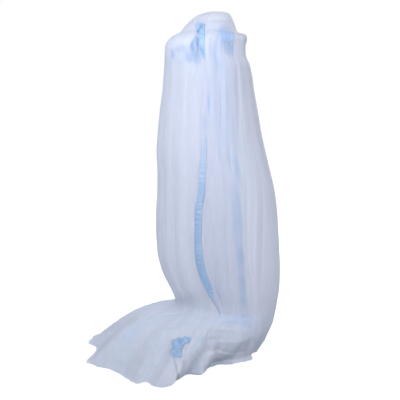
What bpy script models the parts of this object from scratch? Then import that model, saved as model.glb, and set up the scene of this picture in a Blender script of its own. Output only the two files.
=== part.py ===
# Mosquito net canopy: one long net with a domed top, gathered over a round hoop in a blue tape,
# with a doorway of two lapped flaps bound in blue ribbon, and its foot swept into a train on the floor.
# Metres, +Z up, -Y to the front.  The origin is the hang point, on top of the dome.

import math
from collections import namedtuple

import bpy
from mathutils import Vector

# ---------------------------------------------------------------- driving sizes
FLOOR_DROP = 1.36            # from the hang point down to the floor
NET_THICKNESS = 0.002
TAPE_THICKNESS = 0.0012
SEAT_GAP = 0.0003            # between a sewn piece and the net that carries it

COLUMNS = 64                 # columns of the net round one ring
LAP_COLUMNS = 8              # columns that the two door flaps share
BINDING_WIDTH = 0.030
BINDING_COLUMNS = 2          # strips across one binding
FLAP_STEP = 0.0025           # each flap stands this far from the surface midway between them
FADE_COLUMNS = 3             # columns over which that step dies away beside the lap
SLIT_SPREAD = 0.003          # each side of the doorway's slit at its top

HOOP_CENTRE_X = -0.0465
HOOP_DROP = 0.153
HOOP_WIRE = 0.006            # diameter
TAPE_OUTER_RADIUS = 0.1493
TAPE_LENGTH = 0.042          # how far the tape hangs below the hoop
HOOP_SIDES = 44
WIRE_SIDES = 6
TAPE_BEND_STEPS = 4

# One row for each level ring of the net, from the crown down to where the train begins.
# drop: below the hang point.  left, right: its X at the sides.  front, back: its Y.
# outer_edge, inner_edge: X of the free edges of the outer and the inner door flap.
# fold: depth of the gathers, which go inwards from these sizes.
Section = namedtuple("Section", "drop left right front back outer_edge inner_edge fold")
SECTIONS = (
    Section(0.0015, -0.027, 0.021, -0.024, 0.024, 0, 0, 0.000),
    Section(0.0060, -0.053, 0.043, -0.046, 0.046, 0, 0, 0.001),
    Section(0.018, -0.082, 0.054, -0.066, 0.066, 0, 0, 0.002),
    Section(0.036, -0.106, 0.062, -0.082, 0.082, -0.071, 0.052, 0.003),
    Section(0.056, -0.126, 0.070, -0.103, 0.103, -0.072, 0.051, 0.003),
    Section(0.078, -0.144, 0.078, -0.121, 0.121, -0.076, 0.057, 0.004),
    Section(0.090, -0.168, 0.112, -0.136, 0.136, -0.076, 0.059, 0.012),
    Section(0.106, -0.188, 0.116, -0.149, 0.149, -0.076, 0.062, 0.012),
    Section(0.132, -0.202, 0.110, -0.1565, 0.1565, -0.073, 0.065, 0.004),
    Section(0.165, -0.204, 0.111, -0.1575, 0.1575, -0.069, 0.068, 0.005),
    Section(0.200, -0.205, 0.126, -0.162, 0.162, -0.061, 0.070, 0.008),
    Section(0.245, -0.208, 0.137, -0.168, 0.168, -0.055, 0.073, 0.012),
    Section(0.300, -0.212, 0.145, -0.172, 0.172, -0.052, 0.078, 0.014),
    Section(0.380, -0.223, 0.160, -0.176, 0.178, -0.059, 0.079, 0.016),
    Section(0.460, -0.232, 0.174, -0.180, 0.184, -0.060, 0.080, 0.018),
    Section(0.540, -0.238, 0.192, -0.184, 0.190, -0.062, 0.080, 0.019),
    Section(0.620, -0.235, 0.212, -0.188, 0.196, -0.071, 0.080, 0.020),
    Section(0.700, -0.236, 0.231, -0.190, 0.200, -0.075, 0.084, 0.020),
    Section(0.780, -0.241, 0.242, -0.190, 0.202, -0.090, 0.092, 0.020),
    Section(0.860, -0.243, 0.248, -0.188, 0.202, -0.091, 0.096, 0.020),
    Section(0.940, -0.240, 0.253, -0.185, 0.200, -0.086, 0.105, 0.020),
    Section(1.020, -0.224, 0.257, -0.180, 0.196, -0.063, 0.109, 0.019),
    Section(1.100, -0.187, 0.255, -0.174, 0.190, -0.020, 0.114, 0.018),
    Section(1.165, -0.157, 0.244, -0.168, 0.182, 0.022, 0.128, 0.016),
)
DOOR_ROW = 4                 # ring of the slit's top, counted with the crown as ring 0

# Rings of the train.  step: share of the way from the last section to the hem's own strip.
# outer_edge, inner_edge: angles of the door flaps' free edges.  fold: depth of the gathers.
TrainRing = namedtuple("TrainRing", "step outer_edge inner_edge fold")
TRAIN = (
    TrainRing(0.12, 260, 295, 0.012),
    TrainRing(0.28, 250, 295, 0.011),
    TrainRing(0.45, 240, 295, 0.010),
    TrainRing(0.62, 238, 294, 0.008),
    TrainRing(0.80, 246, 294, 0.005),
    TrainRing(1.00, 254, 294, 0.000),
)
HEM_EDGES = TrainRing(1.00, 257, 294, 0.000)     # of the hem, past the last ring of the train
HEM_STRIP = 0.020            # the last strip of the net, which lies on the floor where it can
WALL_REACH = 0.25            # a stretch of train longer than this is a full slope, not a wall

# The ragged hem on the floor: where the column at each angle of the ring ends.
# lap: how far the hem strip lies outwards, or is tucked inwards where it is negative.
# swell: how far the train stands proud halfway down, upwards on a slope and outwards on a wall.
HemPoint = namedtuple("HemPoint", "angle x y lap swell")
HEM = (
    HemPoint(0, 0.170, 0.000, -0.012, 0.000),
    HemPoint(22, 0.162, 0.075, -0.010, 0.002),
    HemPoint(46, 0.138, 0.142, 0.002, 0.008),
    HemPoint(70, 0.080, 0.197, 0.014, 0.012),
    HemPoint(92, 0.005, 0.226, 0.018, 0.014),
    HemPoint(116, -0.115, 0.262, 0.018, 0.018),
    HemPoint(138, -0.270, 0.278, 0.019, 0.026),
    HemPoint(152, -0.410, 0.262, 0.019, 0.036),
    HemPoint(162, -0.505, 0.205, 0.019, 0.044),
    HemPoint(170, -0.541, 0.091, 0.019, 0.048),
    HemPoint(179, -0.496, 0.010, 0.019, 0.050),
    HemPoint(188, -0.516, -0.140, 0.019, 0.044),
    HemPoint(197, -0.488, -0.187, 0.019, 0.038),
    HemPoint(208, -0.390, -0.263, 0.019, 0.032),
    HemPoint(218, -0.330, -0.355, 0.019, 0.028),
    HemPoint(225, -0.293, -0.385, 0.019, 0.024),
    HemPoint(231, -0.270, -0.372, 0.019, 0.022),
    HemPoint(240, -0.222, -0.419, 0.019, 0.022),
    HemPoint(250, -0.172, -0.409, 0.019, 0.024),
    HemPoint(257, -0.148, -0.350, 0.019, 0.026),
    HemPoint(266, -0.112, -0.296, 0.018, 0.028),
    HemPoint(273, -0.062, -0.294, 0.018, 0.028),
    HemPoint(279, -0.030, -0.222, 0.017, 0.028),
    HemPoint(286, 0.012, -0.188, 0.016, 0.028),
    HemPoint(298, 0.088, -0.176, 0.014, 0.024),
    HemPoint(309, 0.139, -0.124, 0.010, 0.016),
    HemPoint(318, 0.134, -0.082, -0.004, 0.010),
    HemPoint(338, 0.160, -0.036, -0.012, 0.001),
)

# The gathers: troughs that run down the net, drifting from one angle at the dome to another at the
# hem.  width: half of it, in degrees.  depth: share of the ring's fold depth.
Trough = namedtuple("Trough", "top_angle hem_angle width depth")
TROUGHS = (
    Trough(8, 14, 11, 0.7),
    Trough(31, 35, 10, 1.0),
    Trough(53, 57, 11, 0.6),
    Trough(76, 80, 12, 0.9),
    Trough(101, 99, 10, 0.7),
    Trough(124, 121, 12, 1.0),
    Trough(149, 143, 11, 0.6),
    Trough(171, 164, 10, 0.8),
    Trough(192, 184, 10, 0.5),
    Trough(209, 203, 9, 0.7),
    Trough(228, 221, 10, 0.6),
    Trough(247, 243, 9, 1.0),
    Trough(266, 263, 9, 0.9),
    Trough(285, 279, 9, 0.5),
    Trough(304, 297, 10, 1.0),
    Trough(323, 316, 9, 0.6),
    Trough(343, 338, 10, 0.8),
)

# Creases across the foot's front, where the bent net is crushed together.
# angle, width: middle and half of its length, in degrees.  step: which ring of the train.
Crumple = namedtuple("Crumple", "step angle width depth")
CRUMPLES = (
    Crumple(0.28, 292, 34, 0.012),
    Crumple(0.62, 300, 38, 0.013),
    Crumple(0.12, 216, 26, 0.008),
)

# name: (colour, roughness, metallic)
FINISHES = {
    "net_mesh": ((0.80, 0.84, 0.95), 0.75, 0.0),
    "blue_ribbon": ((0.42, 0.66, 0.95), 0.45, 0.0),
    "hoop_wire": ((0.86, 0.87, 0.88), 0.40, 0.0),
}


# ---------------------------------------------------------------- small helpers
def clear_scene():
    for item in list(bpy.data.objects):
        bpy.data.objects.remove(item)


def make_finish(name):
    colour, roughness, metallic = FINISHES[name]
    material = bpy.data.materials.new(name)
    material.use_nodes = True
    shader = material.node_tree.nodes["Principled BSDF"]
    shader.inputs["Base Color"].default_value = (*colour, 1.0)
    shader.inputs["Roughness"].default_value = roughness
    shader.inputs["Metallic"].default_value = metallic
    return material


def add_solid(name, points, faces, material):
    mesh = bpy.data.meshes.new(name)
    mesh.from_pydata([tuple(point) for point in points], [], faces)
    mesh.shade_smooth()
    mesh.set_sharp_from_angle(angle=math.radians(50))
    mesh.materials.append(material)
    thing = bpy.data.objects.new(name, mesh)
    bpy.context.collection.objects.link(thing)
    return thing


def mix(start, end, share):
    return start + (end - start) * share


def ease(share):
    share = min(max(share, 0.0), 1.0)
    return share * share * (3.0 - 2.0 * share)


def angle_apart(first, second):
    return abs((first - second + 180.0) % 360.0 - 180.0)


# ---------------------------------------------------------------- the net's middle surface
def ring_point(section, angle):
    """Point of a level ring: half ovals that meet at its left and right."""
    centre_x = (section.left + section.right) / 2
    half_width = (section.right - section.left) / 2
    depth = section.back if math.sin(math.radians(angle)) > 0 else -section.front
    return Vector((centre_x + half_width * math.cos(math.radians(angle)),
                   depth * math.sin(math.radians(angle)), -section.drop))


def mean_radius(section):
    return (section.right - section.left - section.front + section.back) / 4


def front_angle(section, x):
    """Angle at which a ring passes a given X on its front."""
    centre_x = (section.left + section.right) / 2
    half_width = (section.right - section.left) / 2
    return 360.0 - math.degrees(math.acos((x - centre_x) / half_width))


def hem_place(angle):
    """The hem's X, Y, lap and swell at an angle, on a smooth closed curve through the HEM table."""
    angle %= 360.0
    count = len(HEM)
    below = max(index for index in range(count) if HEM[index].angle <= angle)
    knots = [HEM[(below + step) % count] for step in (-1, 0, 1, 2)]
    span = (knots[2].angle - knots[1].angle) % 360.0
    share = (angle - knots[1].angle) / span
    place = []
    for a, b, c, d in zip(*[(k.x, k.y, k.lap, k.swell) for k in knots]):
        bend = (2 * a - 5 * b + 4 * c - d) * share + (3 * b - a - 3 * c + d) * share * share
        place.append(b + 0.5 * share * ((c - a) + bend))
    return place


def column_angles(outer_edge, inner_edge, radius):
    """Angles of the net's columns, from the outer flap's edge once round the ring."""
    strip = math.degrees(BINDING_WIDTH / BINDING_COLUMNS / radius)
    first = [outer_edge + strip * step for step in range(BINDING_COLUMNS + 1)]
    last = [inner_edge - strip * step for step in range(BINDING_COLUMNS, -1, -1)]
    between = LAP_COLUMNS - 2 * BINDING_COLUMNS
    angles = list(first)
    angles += [mix(first[-1], last[0], step / between) for step in range(1, between)]
    angles += last
    rest = COLUMNS - LAP_COLUMNS
    turn_end = outer_edge + 360.0
    angles += [mix(inner_edge, turn_end, step / rest) for step in range(1, rest)]
    return angles


def lap_share(column):
    """1 where the two flaps lap, 0 well beside the lap, for a column of the whole turn."""
    past_lap = column - LAP_COLUMNS
    before_turn_end = COLUMNS - column
    return 1.0 - ease(min(max(past_lap, 0), before_turn_end) / FADE_COLUMNS)


def trough_depth(angle, way_down):
    """How deep the gathers are at an angle, from 0 to 1."""
    depth = 0.0
    for trough in TROUGHS:
        apart = angle_apart(angle, mix(trough.top_angle, trough.hem_angle, way_down))
        if apart < trough.width:
            depth += trough.depth * math.cos(math.pi / 2 * apart / trough.width) ** 2
    return min(depth, 1.0)


def crumple_depth(angle, step):
    """How far a crease across the foot draws one of the train's rings in."""
    depth = 0.0
    for crumple in CRUMPLES:
        apart = angle_apart(angle, crumple.angle)
        if crumple.step == step and apart < crumple.width:
            depth += crumple.depth * math.cos(math.pi / 2 * apart / crumple.width) ** 2
    return depth


def floor_level(column):
    """Height of the middle surface where the net lies flat, the flaps on top of each other."""
    return -FLOOR_DROP + NET_THICKNESS / 2 + FLAP_STEP * lap_share(column)


def train_point(start, angle, column, step):
    """Point of the train between the lowest level ring and the hem's strip."""
    hem_x, hem_y, lap, swell = hem_place(angle)
    outwards = Vector((hem_x - start.x, hem_y - start.y, 0.0))
    radial = Vector((math.cos(math.radians(angle)), math.sin(math.radians(angle)), 0.0))
    spread = ease(outwards.length / WALL_REACH)
    direction = radial.lerp(outwards.normalized(), spread).normalized()
    strip_top = Vector((hem_x, hem_y, 0.0)) - direction * lap
    strip_top.z = floor_level(column) + math.sqrt(HEM_STRIP ** 2 - lap ** 2)
    along = mix(step * step, step, spread)
    point = Vector((mix(start.x, strip_top.x, along), mix(start.y, strip_top.y, along),
                    mix(start.z, strip_top.z, step)))
    proud = radial.lerp(Vector((0.0, 0.0, 1.0)), spread).normalized()
    crumple = crumple_depth(angle, step)
    return point + proud * (swell * math.sin(math.pi * step) - crumple)


def hem_point(angle, column):
    """Point of the hem itself, flat on the floor."""
    hem_x, hem_y = hem_place(angle)[:2]
    return Vector((hem_x, hem_y, floor_level(column)))


def smooth_surface():
    """Rings of points without gathers, the ring angles, and each ring's fold depth."""
    rings, angles, folds = [], [], []
    for row, section in enumerate(SECTIONS, start=1):
        edges = SECTIONS[max(row, DOOR_ROW) - 1]
        ring_angles = column_angles(front_angle(edges, edges.outer_edge),
                                    front_angle(edges, edges.inner_edge), mean_radius(edges))
        rings.append([ring_point(section, angle) for angle in ring_angles])
        angles.append(ring_angles)
        folds.append(section.fold)
    last = SECTIONS[-1]
    radius = mean_radius(last)
    for train_ring in TRAIN:
        ring_angles = column_angles(train_ring.outer_edge, train_ring.inner_edge, radius)
        rings.append([train_point(ring_point(last, angle), angle, column, train_ring.step)
                      for column, angle in enumerate(ring_angles)])
        angles.append(ring_angles)
        folds.append(train_ring.fold)
    hem_angles = column_angles(HEM_EDGES.outer_edge, HEM_EDGES.inner_edge, radius)
    rings.append([hem_point(angle, column) for column, angle in enumerate(hem_angles)])
    angles.append(hem_angles)
    folds.append(HEM_EDGES.fold)
    return rings, angles, folds


def surface_normals(rings):
    """Outward normal at each point of closed rings that run from the crown to the hem."""
    crown = Vector((0.0, 0.0, 0.0))
    normals = []
    for row, ring in enumerate(rings):
        above = rings[row - 1] if row else [crown] * COLUMNS
        below = rings[min(row + 1, len(rings) - 1)]
        normals.append([(below[c] - above[c]).cross(ring[(c + 1) % COLUMNS] - ring[c - 1]).normalized()
                        for c in range(COLUMNS)])
    return normals


def gathered_surface():
    """The net's middle surface with its gathers, and its normals."""
    rings, angles, folds = smooth_surface()
    normals = surface_normals(rings)
    count = len(rings)
    for row in range(count):
        way_down = row / (count - 1)
        for column in range(COLUMNS):
            depth = folds[row] * trough_depth(angles[row][column], way_down)
            rings[row][column] = rings[row][column] - normals[row][column] * depth
    for row in range(len(SECTIONS), count):
        for column in range(COLUMNS):
            rings[row][column].z = max(rings[row][column].z, floor_level(column))
    return rings, surface_normals(rings)


# ---------------------------------------------------------------- the net and what is sewn on it
class Net:
    """The net as columns that run once round and on under the outer flap.

    A point is named (row, column).  Row 0 is the crown.  Below DOOR_ROW, column 0 is the outer
    flap's free edge, column COLUMNS lies under it, and the columns past that are the inner flap.
    """

    def __init__(self):
        self.rings, self.normals = gathered_surface()
        self.rows = len(self.rings)
        self.last_column = COLUMNS + LAP_COLUMNS

    def key(self, row, column):
        if row == 0:
            return (0, 0)
        if row <= DOOR_ROW:
            return (row, column % COLUMNS)
        return (row, column)

    def place(self, key):
        """Middle of the net and its outward normal at a named point."""
        row, column = key
        if row == 0:
            return Vector((0.0, 0.0, -NET_THICKNESS / 2)), Vector((0.0, 0.0, 1.0))
        point = self.rings[row - 1][column % COLUMNS]
        normal = self.normals[row - 1][column % COLUMNS]
        if row > DOOR_ROW:
            inner_flap = column > COLUMNS - FADE_COLUMNS
            step = FLAP_STEP * lap_share(column % COLUMNS)
            point = point + normal * (-step if inner_flap else step)
        if row == DOOR_ROW + 1 and column in (0, COLUMNS):
            ring = self.rings[row - 1]
            along = (ring[1] - ring[0]).normalized()
            point = point + along * (SLIT_SPREAD if column == 0 else -SLIT_SPREAD)
        return point, normal

    def strip(self, first_row, first_column, last_column):
        """Triangles of the net from one row to the hem, between two columns."""
        faces = []
        for row in range(first_row, self.rows):
            for column in range(first_column, last_column):
                faces += self.cell(row, column)
        return faces

    def cell(self, row, column):
        low_left = self.key(row + 1, column)
        low_right = self.key(row + 1, column + 1)
        top_left = self.key(row, column)
        top_right = self.key(row, column + 1)
        if row == 0:
            return [(top_left, low_left, low_right)]
        return [(top_left, low_left, low_right), (top_left, low_right, top_right)]

    def cloth(self):
        faces = []
        for row in range(self.rows):
            for column in range(COLUMNS):
                faces += self.cell(row, column)
        return faces + self.strip(DOOR_ROW + 1, COLUMNS, self.last_column)


def thicken(name, faces, place, low, high, material):
    """Closed solid between two distances from the net's middle surface, with a rim at its edges."""
    keys = sorted({key for face in faces for key in face})
    number = {key: index for index, key in enumerate(keys)}
    count = len(keys)
    outside, inside = [], []
    for key in keys:
        point, normal = place(key)
        for side, distance in ((outside, high), (inside, low)):
            moved = point + normal * distance
            moved.z = max(moved.z, -FLOOR_DROP)
            side.append(moved)
    triangles = [tuple(number[key] for key in face) for face in faces]
    edges = {(a, b) for face in triangles for a, b in zip(face, face[1:] + face[:1])}
    solid_faces = list(triangles)
    solid_faces += [tuple(count + corner for corner in reversed(face)) for face in triangles]
    for a, b in sorted(edges):
        if (b, a) not in edges:
            solid_faces += [(b, a, count + a), (b, count + a, count + b)]
    return add_solid(name, outside + inside, solid_faces, material)


def add_net(net, material):
    half = NET_THICKNESS / 2
    return thicken("net", net.cloth(), net.place, -half, half, material)


def add_binding(name, net, first_column, material):
    low = NET_THICKNESS / 2 + SEAT_GAP
    faces = net.strip(DOOR_ROW + 1, first_column, first_column + BINDING_COLUMNS)
    return thicken(name, faces, net.place, low, low + TAPE_THICKNESS, material)


# ---------------------------------------------------------------- hoop and its tape
def turned_ring(name, profile, sides, material):
    """A closed profile of (radius, drop) points, turned about the hoop's axis."""
    points, faces = [], []
    count = len(profile)
    for side in range(sides):
        turn = 2 * math.pi * side / sides
        for radius, drop in profile:
            points.append((HOOP_CENTRE_X + radius * math.cos(turn), radius * math.sin(turn), -drop))
    for side in range(sides):
        here, there = side * count, (side + 1) % sides * count
        for index in range(count):
            after = (index + 1) % count
            faces.append((here + index, here + after, there + after, there + index))
    return add_solid(name, points, faces, material)


def hoop_radius():
    return TAPE_OUTER_RADIUS - TAPE_THICKNESS - SEAT_GAP - HOOP_WIRE / 2


def add_hoop(material):
    profile = []
    for side in range(WIRE_SIDES):
        turn = 2 * math.pi * (side + 0.5) / WIRE_SIDES
        profile.append((hoop_radius() + HOOP_WIRE / 2 * math.cos(turn),
                        HOOP_DROP + HOOP_WIRE / 2 * math.sin(turn)))
    return turned_ring("hoop", profile, HOOP_SIDES, material)


def add_hoop_tape(material):
    """Tape folded over the hoop, both its sides hanging down."""
    inner = HOOP_WIRE / 2 + SEAT_GAP
    outer = inner + TAPE_THICKNESS
    profile = [(hoop_radius() - outer, HOOP_DROP + TAPE_LENGTH)]
    profile += bend(outer)
    profile.append((hoop_radius() + outer, HOOP_DROP + TAPE_LENGTH))
    profile.append((hoop_radius() + inner, HOOP_DROP + TAPE_LENGTH))
    profile += reversed(bend(inner))
    profile.append((hoop_radius() - inner, HOOP_DROP + TAPE_LENGTH))
    return turned_ring("hoop_tape", profile, HOOP_SIDES, material)


def bend(radius):
    """Half circle over the hoop wire, from its inside to its outside."""
    turns = [math.pi * step / TAPE_BEND_STEPS for step in range(TAPE_BEND_STEPS + 1)]
    return [(hoop_radius() - radius * math.cos(turn), HOOP_DROP - radius * math.sin(turn))
            for turn in turns]


# ---------------------------------------------------------------- the whole canopy
def build_canopy():
    clear_scene()
    net_mesh, blue_ribbon, hoop_wire = (make_finish(name) for name in FINISHES)
    net = Net()
    add_net(net, net_mesh)
    add_binding("door_binding_outer", net, 0, blue_ribbon)
    add_binding("door_binding_inner", net, net.last_column - BINDING_COLUMNS, blue_ribbon)
    add_hoop(hoop_wire)
    add_hoop_tape(blue_ribbon)


build_canopy()
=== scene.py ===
import math

import bpy
import numpy as np
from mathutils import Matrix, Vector


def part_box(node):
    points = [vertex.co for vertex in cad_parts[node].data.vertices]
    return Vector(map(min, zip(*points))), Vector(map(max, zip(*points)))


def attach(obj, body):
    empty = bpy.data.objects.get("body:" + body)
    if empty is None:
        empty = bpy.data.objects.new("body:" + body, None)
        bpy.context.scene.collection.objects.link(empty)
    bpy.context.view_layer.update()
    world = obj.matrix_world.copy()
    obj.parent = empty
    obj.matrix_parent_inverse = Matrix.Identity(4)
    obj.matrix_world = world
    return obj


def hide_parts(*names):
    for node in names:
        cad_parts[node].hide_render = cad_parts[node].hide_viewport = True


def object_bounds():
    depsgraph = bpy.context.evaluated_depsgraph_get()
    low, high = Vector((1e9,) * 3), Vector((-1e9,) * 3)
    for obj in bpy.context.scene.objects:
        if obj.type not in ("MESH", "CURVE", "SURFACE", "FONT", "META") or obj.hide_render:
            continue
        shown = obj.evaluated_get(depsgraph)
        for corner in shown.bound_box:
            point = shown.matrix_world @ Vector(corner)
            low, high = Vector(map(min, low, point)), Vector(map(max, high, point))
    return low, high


# A mosquito net canopy: sheer net over a round hoop, a lapped doorway bound in blue satin ribbon,
# and its foot swept into a train on the floor. Metres, +Z up, the doorway faces -Y.

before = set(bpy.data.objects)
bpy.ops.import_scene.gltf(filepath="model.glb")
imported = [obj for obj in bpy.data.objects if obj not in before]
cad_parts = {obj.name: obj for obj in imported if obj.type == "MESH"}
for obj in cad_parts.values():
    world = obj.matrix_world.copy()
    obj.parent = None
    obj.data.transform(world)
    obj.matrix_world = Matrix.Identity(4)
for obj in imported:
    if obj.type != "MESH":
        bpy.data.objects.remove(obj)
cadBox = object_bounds()
floorZ = cadBox[0].z
restZ = floorZ + 0.001          # of cloth that lies on the floor
hoopLow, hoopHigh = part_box("hoop")
hoopCentre = (hoopLow + hoopHigh) / 2
wireRadius = (hoopHigh.z - hoopLow.z) / 2
hoopRadius = (hoopHigh.x - hoopLow.x) / 2 - wireRadius
print("frame loaded, floor at", round(floorZ, 3))


# Fills a node's inputs by name or number with numbers, colours or other nodes' outputs.
def fill(tree, node, values):
    for name, value in values.items():
        socket = node.inputs[name]
        if isinstance(value, bpy.types.NodeSocket):
            tree.links.new(value, socket)
        else:
            socket.default_value = (*value, 1) if socket.type == "RGBA" else value


def addNode(tree, kind, values, **settings):
    node = tree.nodes.new("ShaderNode" + kind)
    for name, setting in settings.items():
        setattr(node, name, setting)
    fill(tree, node, values)
    return node


def mathNode(tree, operation, *values):
    return addNode(tree, "Math", dict(enumerate(values)), operation=operation).outputs[0]


def rangeNode(tree, value, low, high, toLow=0, toHigh=1):
    ends = {"Value": value, "From Min": low, "From Max": high, "To Min": toLow, "To Max": toHigh}
    return addNode(tree, "MapRange", ends).outputs[0]


def mixColour(tree, share, first, second, blend="MIX"):
    values = {0: share, 6: first, 7: second}
    return addNode(tree, "Mix", values, data_type="RGBA", blend_type=blend).outputs[2]


def newMaterial(name):
    material = bpy.data.materials.new(name)
    material.use_nodes = True
    return material, material.node_tree


# Camera and studio.
studio = {
    "cameraPlace": (-0.067, -3.2, -0.26),   # 1.1 m above the floor
    "cameraTilt": 81.5,                     # degrees from straight down
    "lens": 72.6,
    "floorSize": 30.0,
    "floorColour": (0.34, 0.36, 0.40),
    "floorRoughness": 0.9,
    "floorGap": 0.0005,                     # how far the floor lies under the net
    "floorGlow": 0.88,                      # lifts the floor to white for the camera alone
    "insideShadowDim": 0.6,                       # but less where it is seen through the net, inside it: a painted shadow on the floor under the net
    "insideMiddle": (-0.16, -0.06),
    "insideReach": 0.38,
    "insideFade": 0.15,                     # share of the reach over which it starts and ends
    "skyColour": (0.95, 0.97, 1.0),
    "skyLight": 0.74,                       # what the white room gives all round
    "skyHeights": (0.1, 0.9),               # between these it falls to the share from overhead
    "ceilingShare": 0.35,
    "layers": 32,                           # layers of net that a ray can pass
    "bounces": 12,
}
# Soft boxes: power, place, size, colour, aim, and spread in degrees. The key's narrower spread lets
# its light fade towards the floor.
lamps = {
    "keyLight": (10.2, (-0.95, -1.5, 0.55), 1.3, (0.95, 0.97, 1), (-0.05, 0.0, -0.2), 98.0),
    "fillLight": (25.5, (1.9, -1.9, 0.4), 2.0, (1, 0.985, 0.985), (0, 0, -0.75), 180.0),
    "backLight": (30.0, (0.4, 2.7, 0.5), 2.0, (1, 1, 1), (0, 0, -0.75), 180.0),
}


def addThing(name, content):
    thing = bpy.data.objects.new(name, content)
    bpy.context.collection.objects.link(thing)
    return thing


def makeCamera():
    lens = bpy.data.cameras.new("camera")
    lens.lens = studio["lens"]
    camera = addThing("camera", lens)
    camera.location = studio["cameraPlace"]
    camera.rotation_euler = (math.radians(studio["cameraTilt"]), 0, 0)
    bpy.context.scene.camera = camera


def makeFloorPaint():
    paint, tree = newMaterial("floorPaint")
    place = addNode(tree, "NewGeometry", {}).outputs["Position"]
    middle = (*studio["insideMiddle"], floorZ)
    away = addNode(tree, "VectorMath", {0: place, 1: middle}, operation="SUBTRACT").outputs[0]
    distance = addNode(tree, "VectorMath", {0: away}, operation="LENGTH").outputs["Value"]
    reach, fade = studio["insideReach"], studio["insideFade"]
    # painted shadow: inside the net's print the floor's glow is dimmed where it is seen through the net
    inside = rangeNode(tree, distance, reach * (1 + fade), reach * (1 - fade), 0, studio["insideShadowDim"])
    ray = addNode(tree, "LightPath", {})
    throughNet = mathNode(tree, "MINIMUM", ray.outputs["Transparent Depth"], 1.0)
    dim = mathNode(tree, "MULTIPLY", inside, throughNet)
    glow = mathNode(tree, "MULTIPLY", mathNode(tree, "SUBTRACT", 1.0, dim), studio["floorGlow"])
    glow = mathNode(tree, "MULTIPLY", glow, ray.outputs["Is Camera Ray"])
    fill(tree, tree.nodes["Principled BSDF"], {
        "Base Color": studio["floorColour"], "Roughness": studio["floorRoughness"],
        "Emission Color": (1, 1, 1), "Emission Strength": glow})
    return paint


def makeFloor():
    half, height = studio["floorSize"] / 2, floorZ - studio["floorGap"]
    corners = [(x * half, y * half, height) for x, y in ((-1, -1), (1, -1), (1, 1), (-1, 1))]
    mesh = bpy.data.meshes.new("floor")
    mesh.from_pydata(corners, [], [(0, 1, 2, 3)])
    mesh.materials.append(makeFloorPaint())
    addThing("floor", mesh)


def makeLamps():
    for name, (power, place, size, colour, aim, spread) in lamps.items():
        lamp = bpy.data.lights.new(name, "AREA")
        lamp.shape = "SQUARE"
        lamp.size = size
        lamp.energy = power
        lamp.color = colour
        lamp.spread = math.radians(spread)
        box = addThing(name, lamp)
        box.location = place
        box.rotation_euler = (Vector(aim) - box.location).to_track_quat("-Z", "Y").to_euler()


# A room that looks white, and lights the net a little more from the sides than from overhead.
def makeRoom():
    room = bpy.data.worlds.new("whiteRoom")
    room.use_nodes = True
    tree = room.node_tree
    tree.nodes.clear()
    place = addNode(tree, "TexCoord", {}).outputs["Generated"]
    height = addNode(tree, "SeparateXYZ", {0: place}).outputs[2]
    power = rangeNode(tree, height, *studio["skyHeights"], studio["skyLight"],
                      studio["skyLight"] * studio["ceilingShare"])
    given = addNode(tree, "Background", {"Color": studio["skyColour"], "Strength": power})
    seen = addNode(tree, "Background", {"Color": (1, 1, 1)})
    ray = addNode(tree, "LightPath", {}).outputs["Is Camera Ray"]
    choose = addNode(tree, "MixShader", {0: ray, 1: given.outputs[0], 2: seen.outputs[0]})
    addNode(tree, "OutputWorld", {"Surface": choose.outputs[0]})
    scene = bpy.context.scene
    scene.world = room
    scene.view_settings.view_transform = "Standard"
    scene.cycles.transparent_max_bounces = studio["layers"]
    scene.cycles.max_bounces = studio["bounces"]


makeCamera()
makeFloor()
makeLamps()
makeRoom()
print("camera, floor and lights made")


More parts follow.
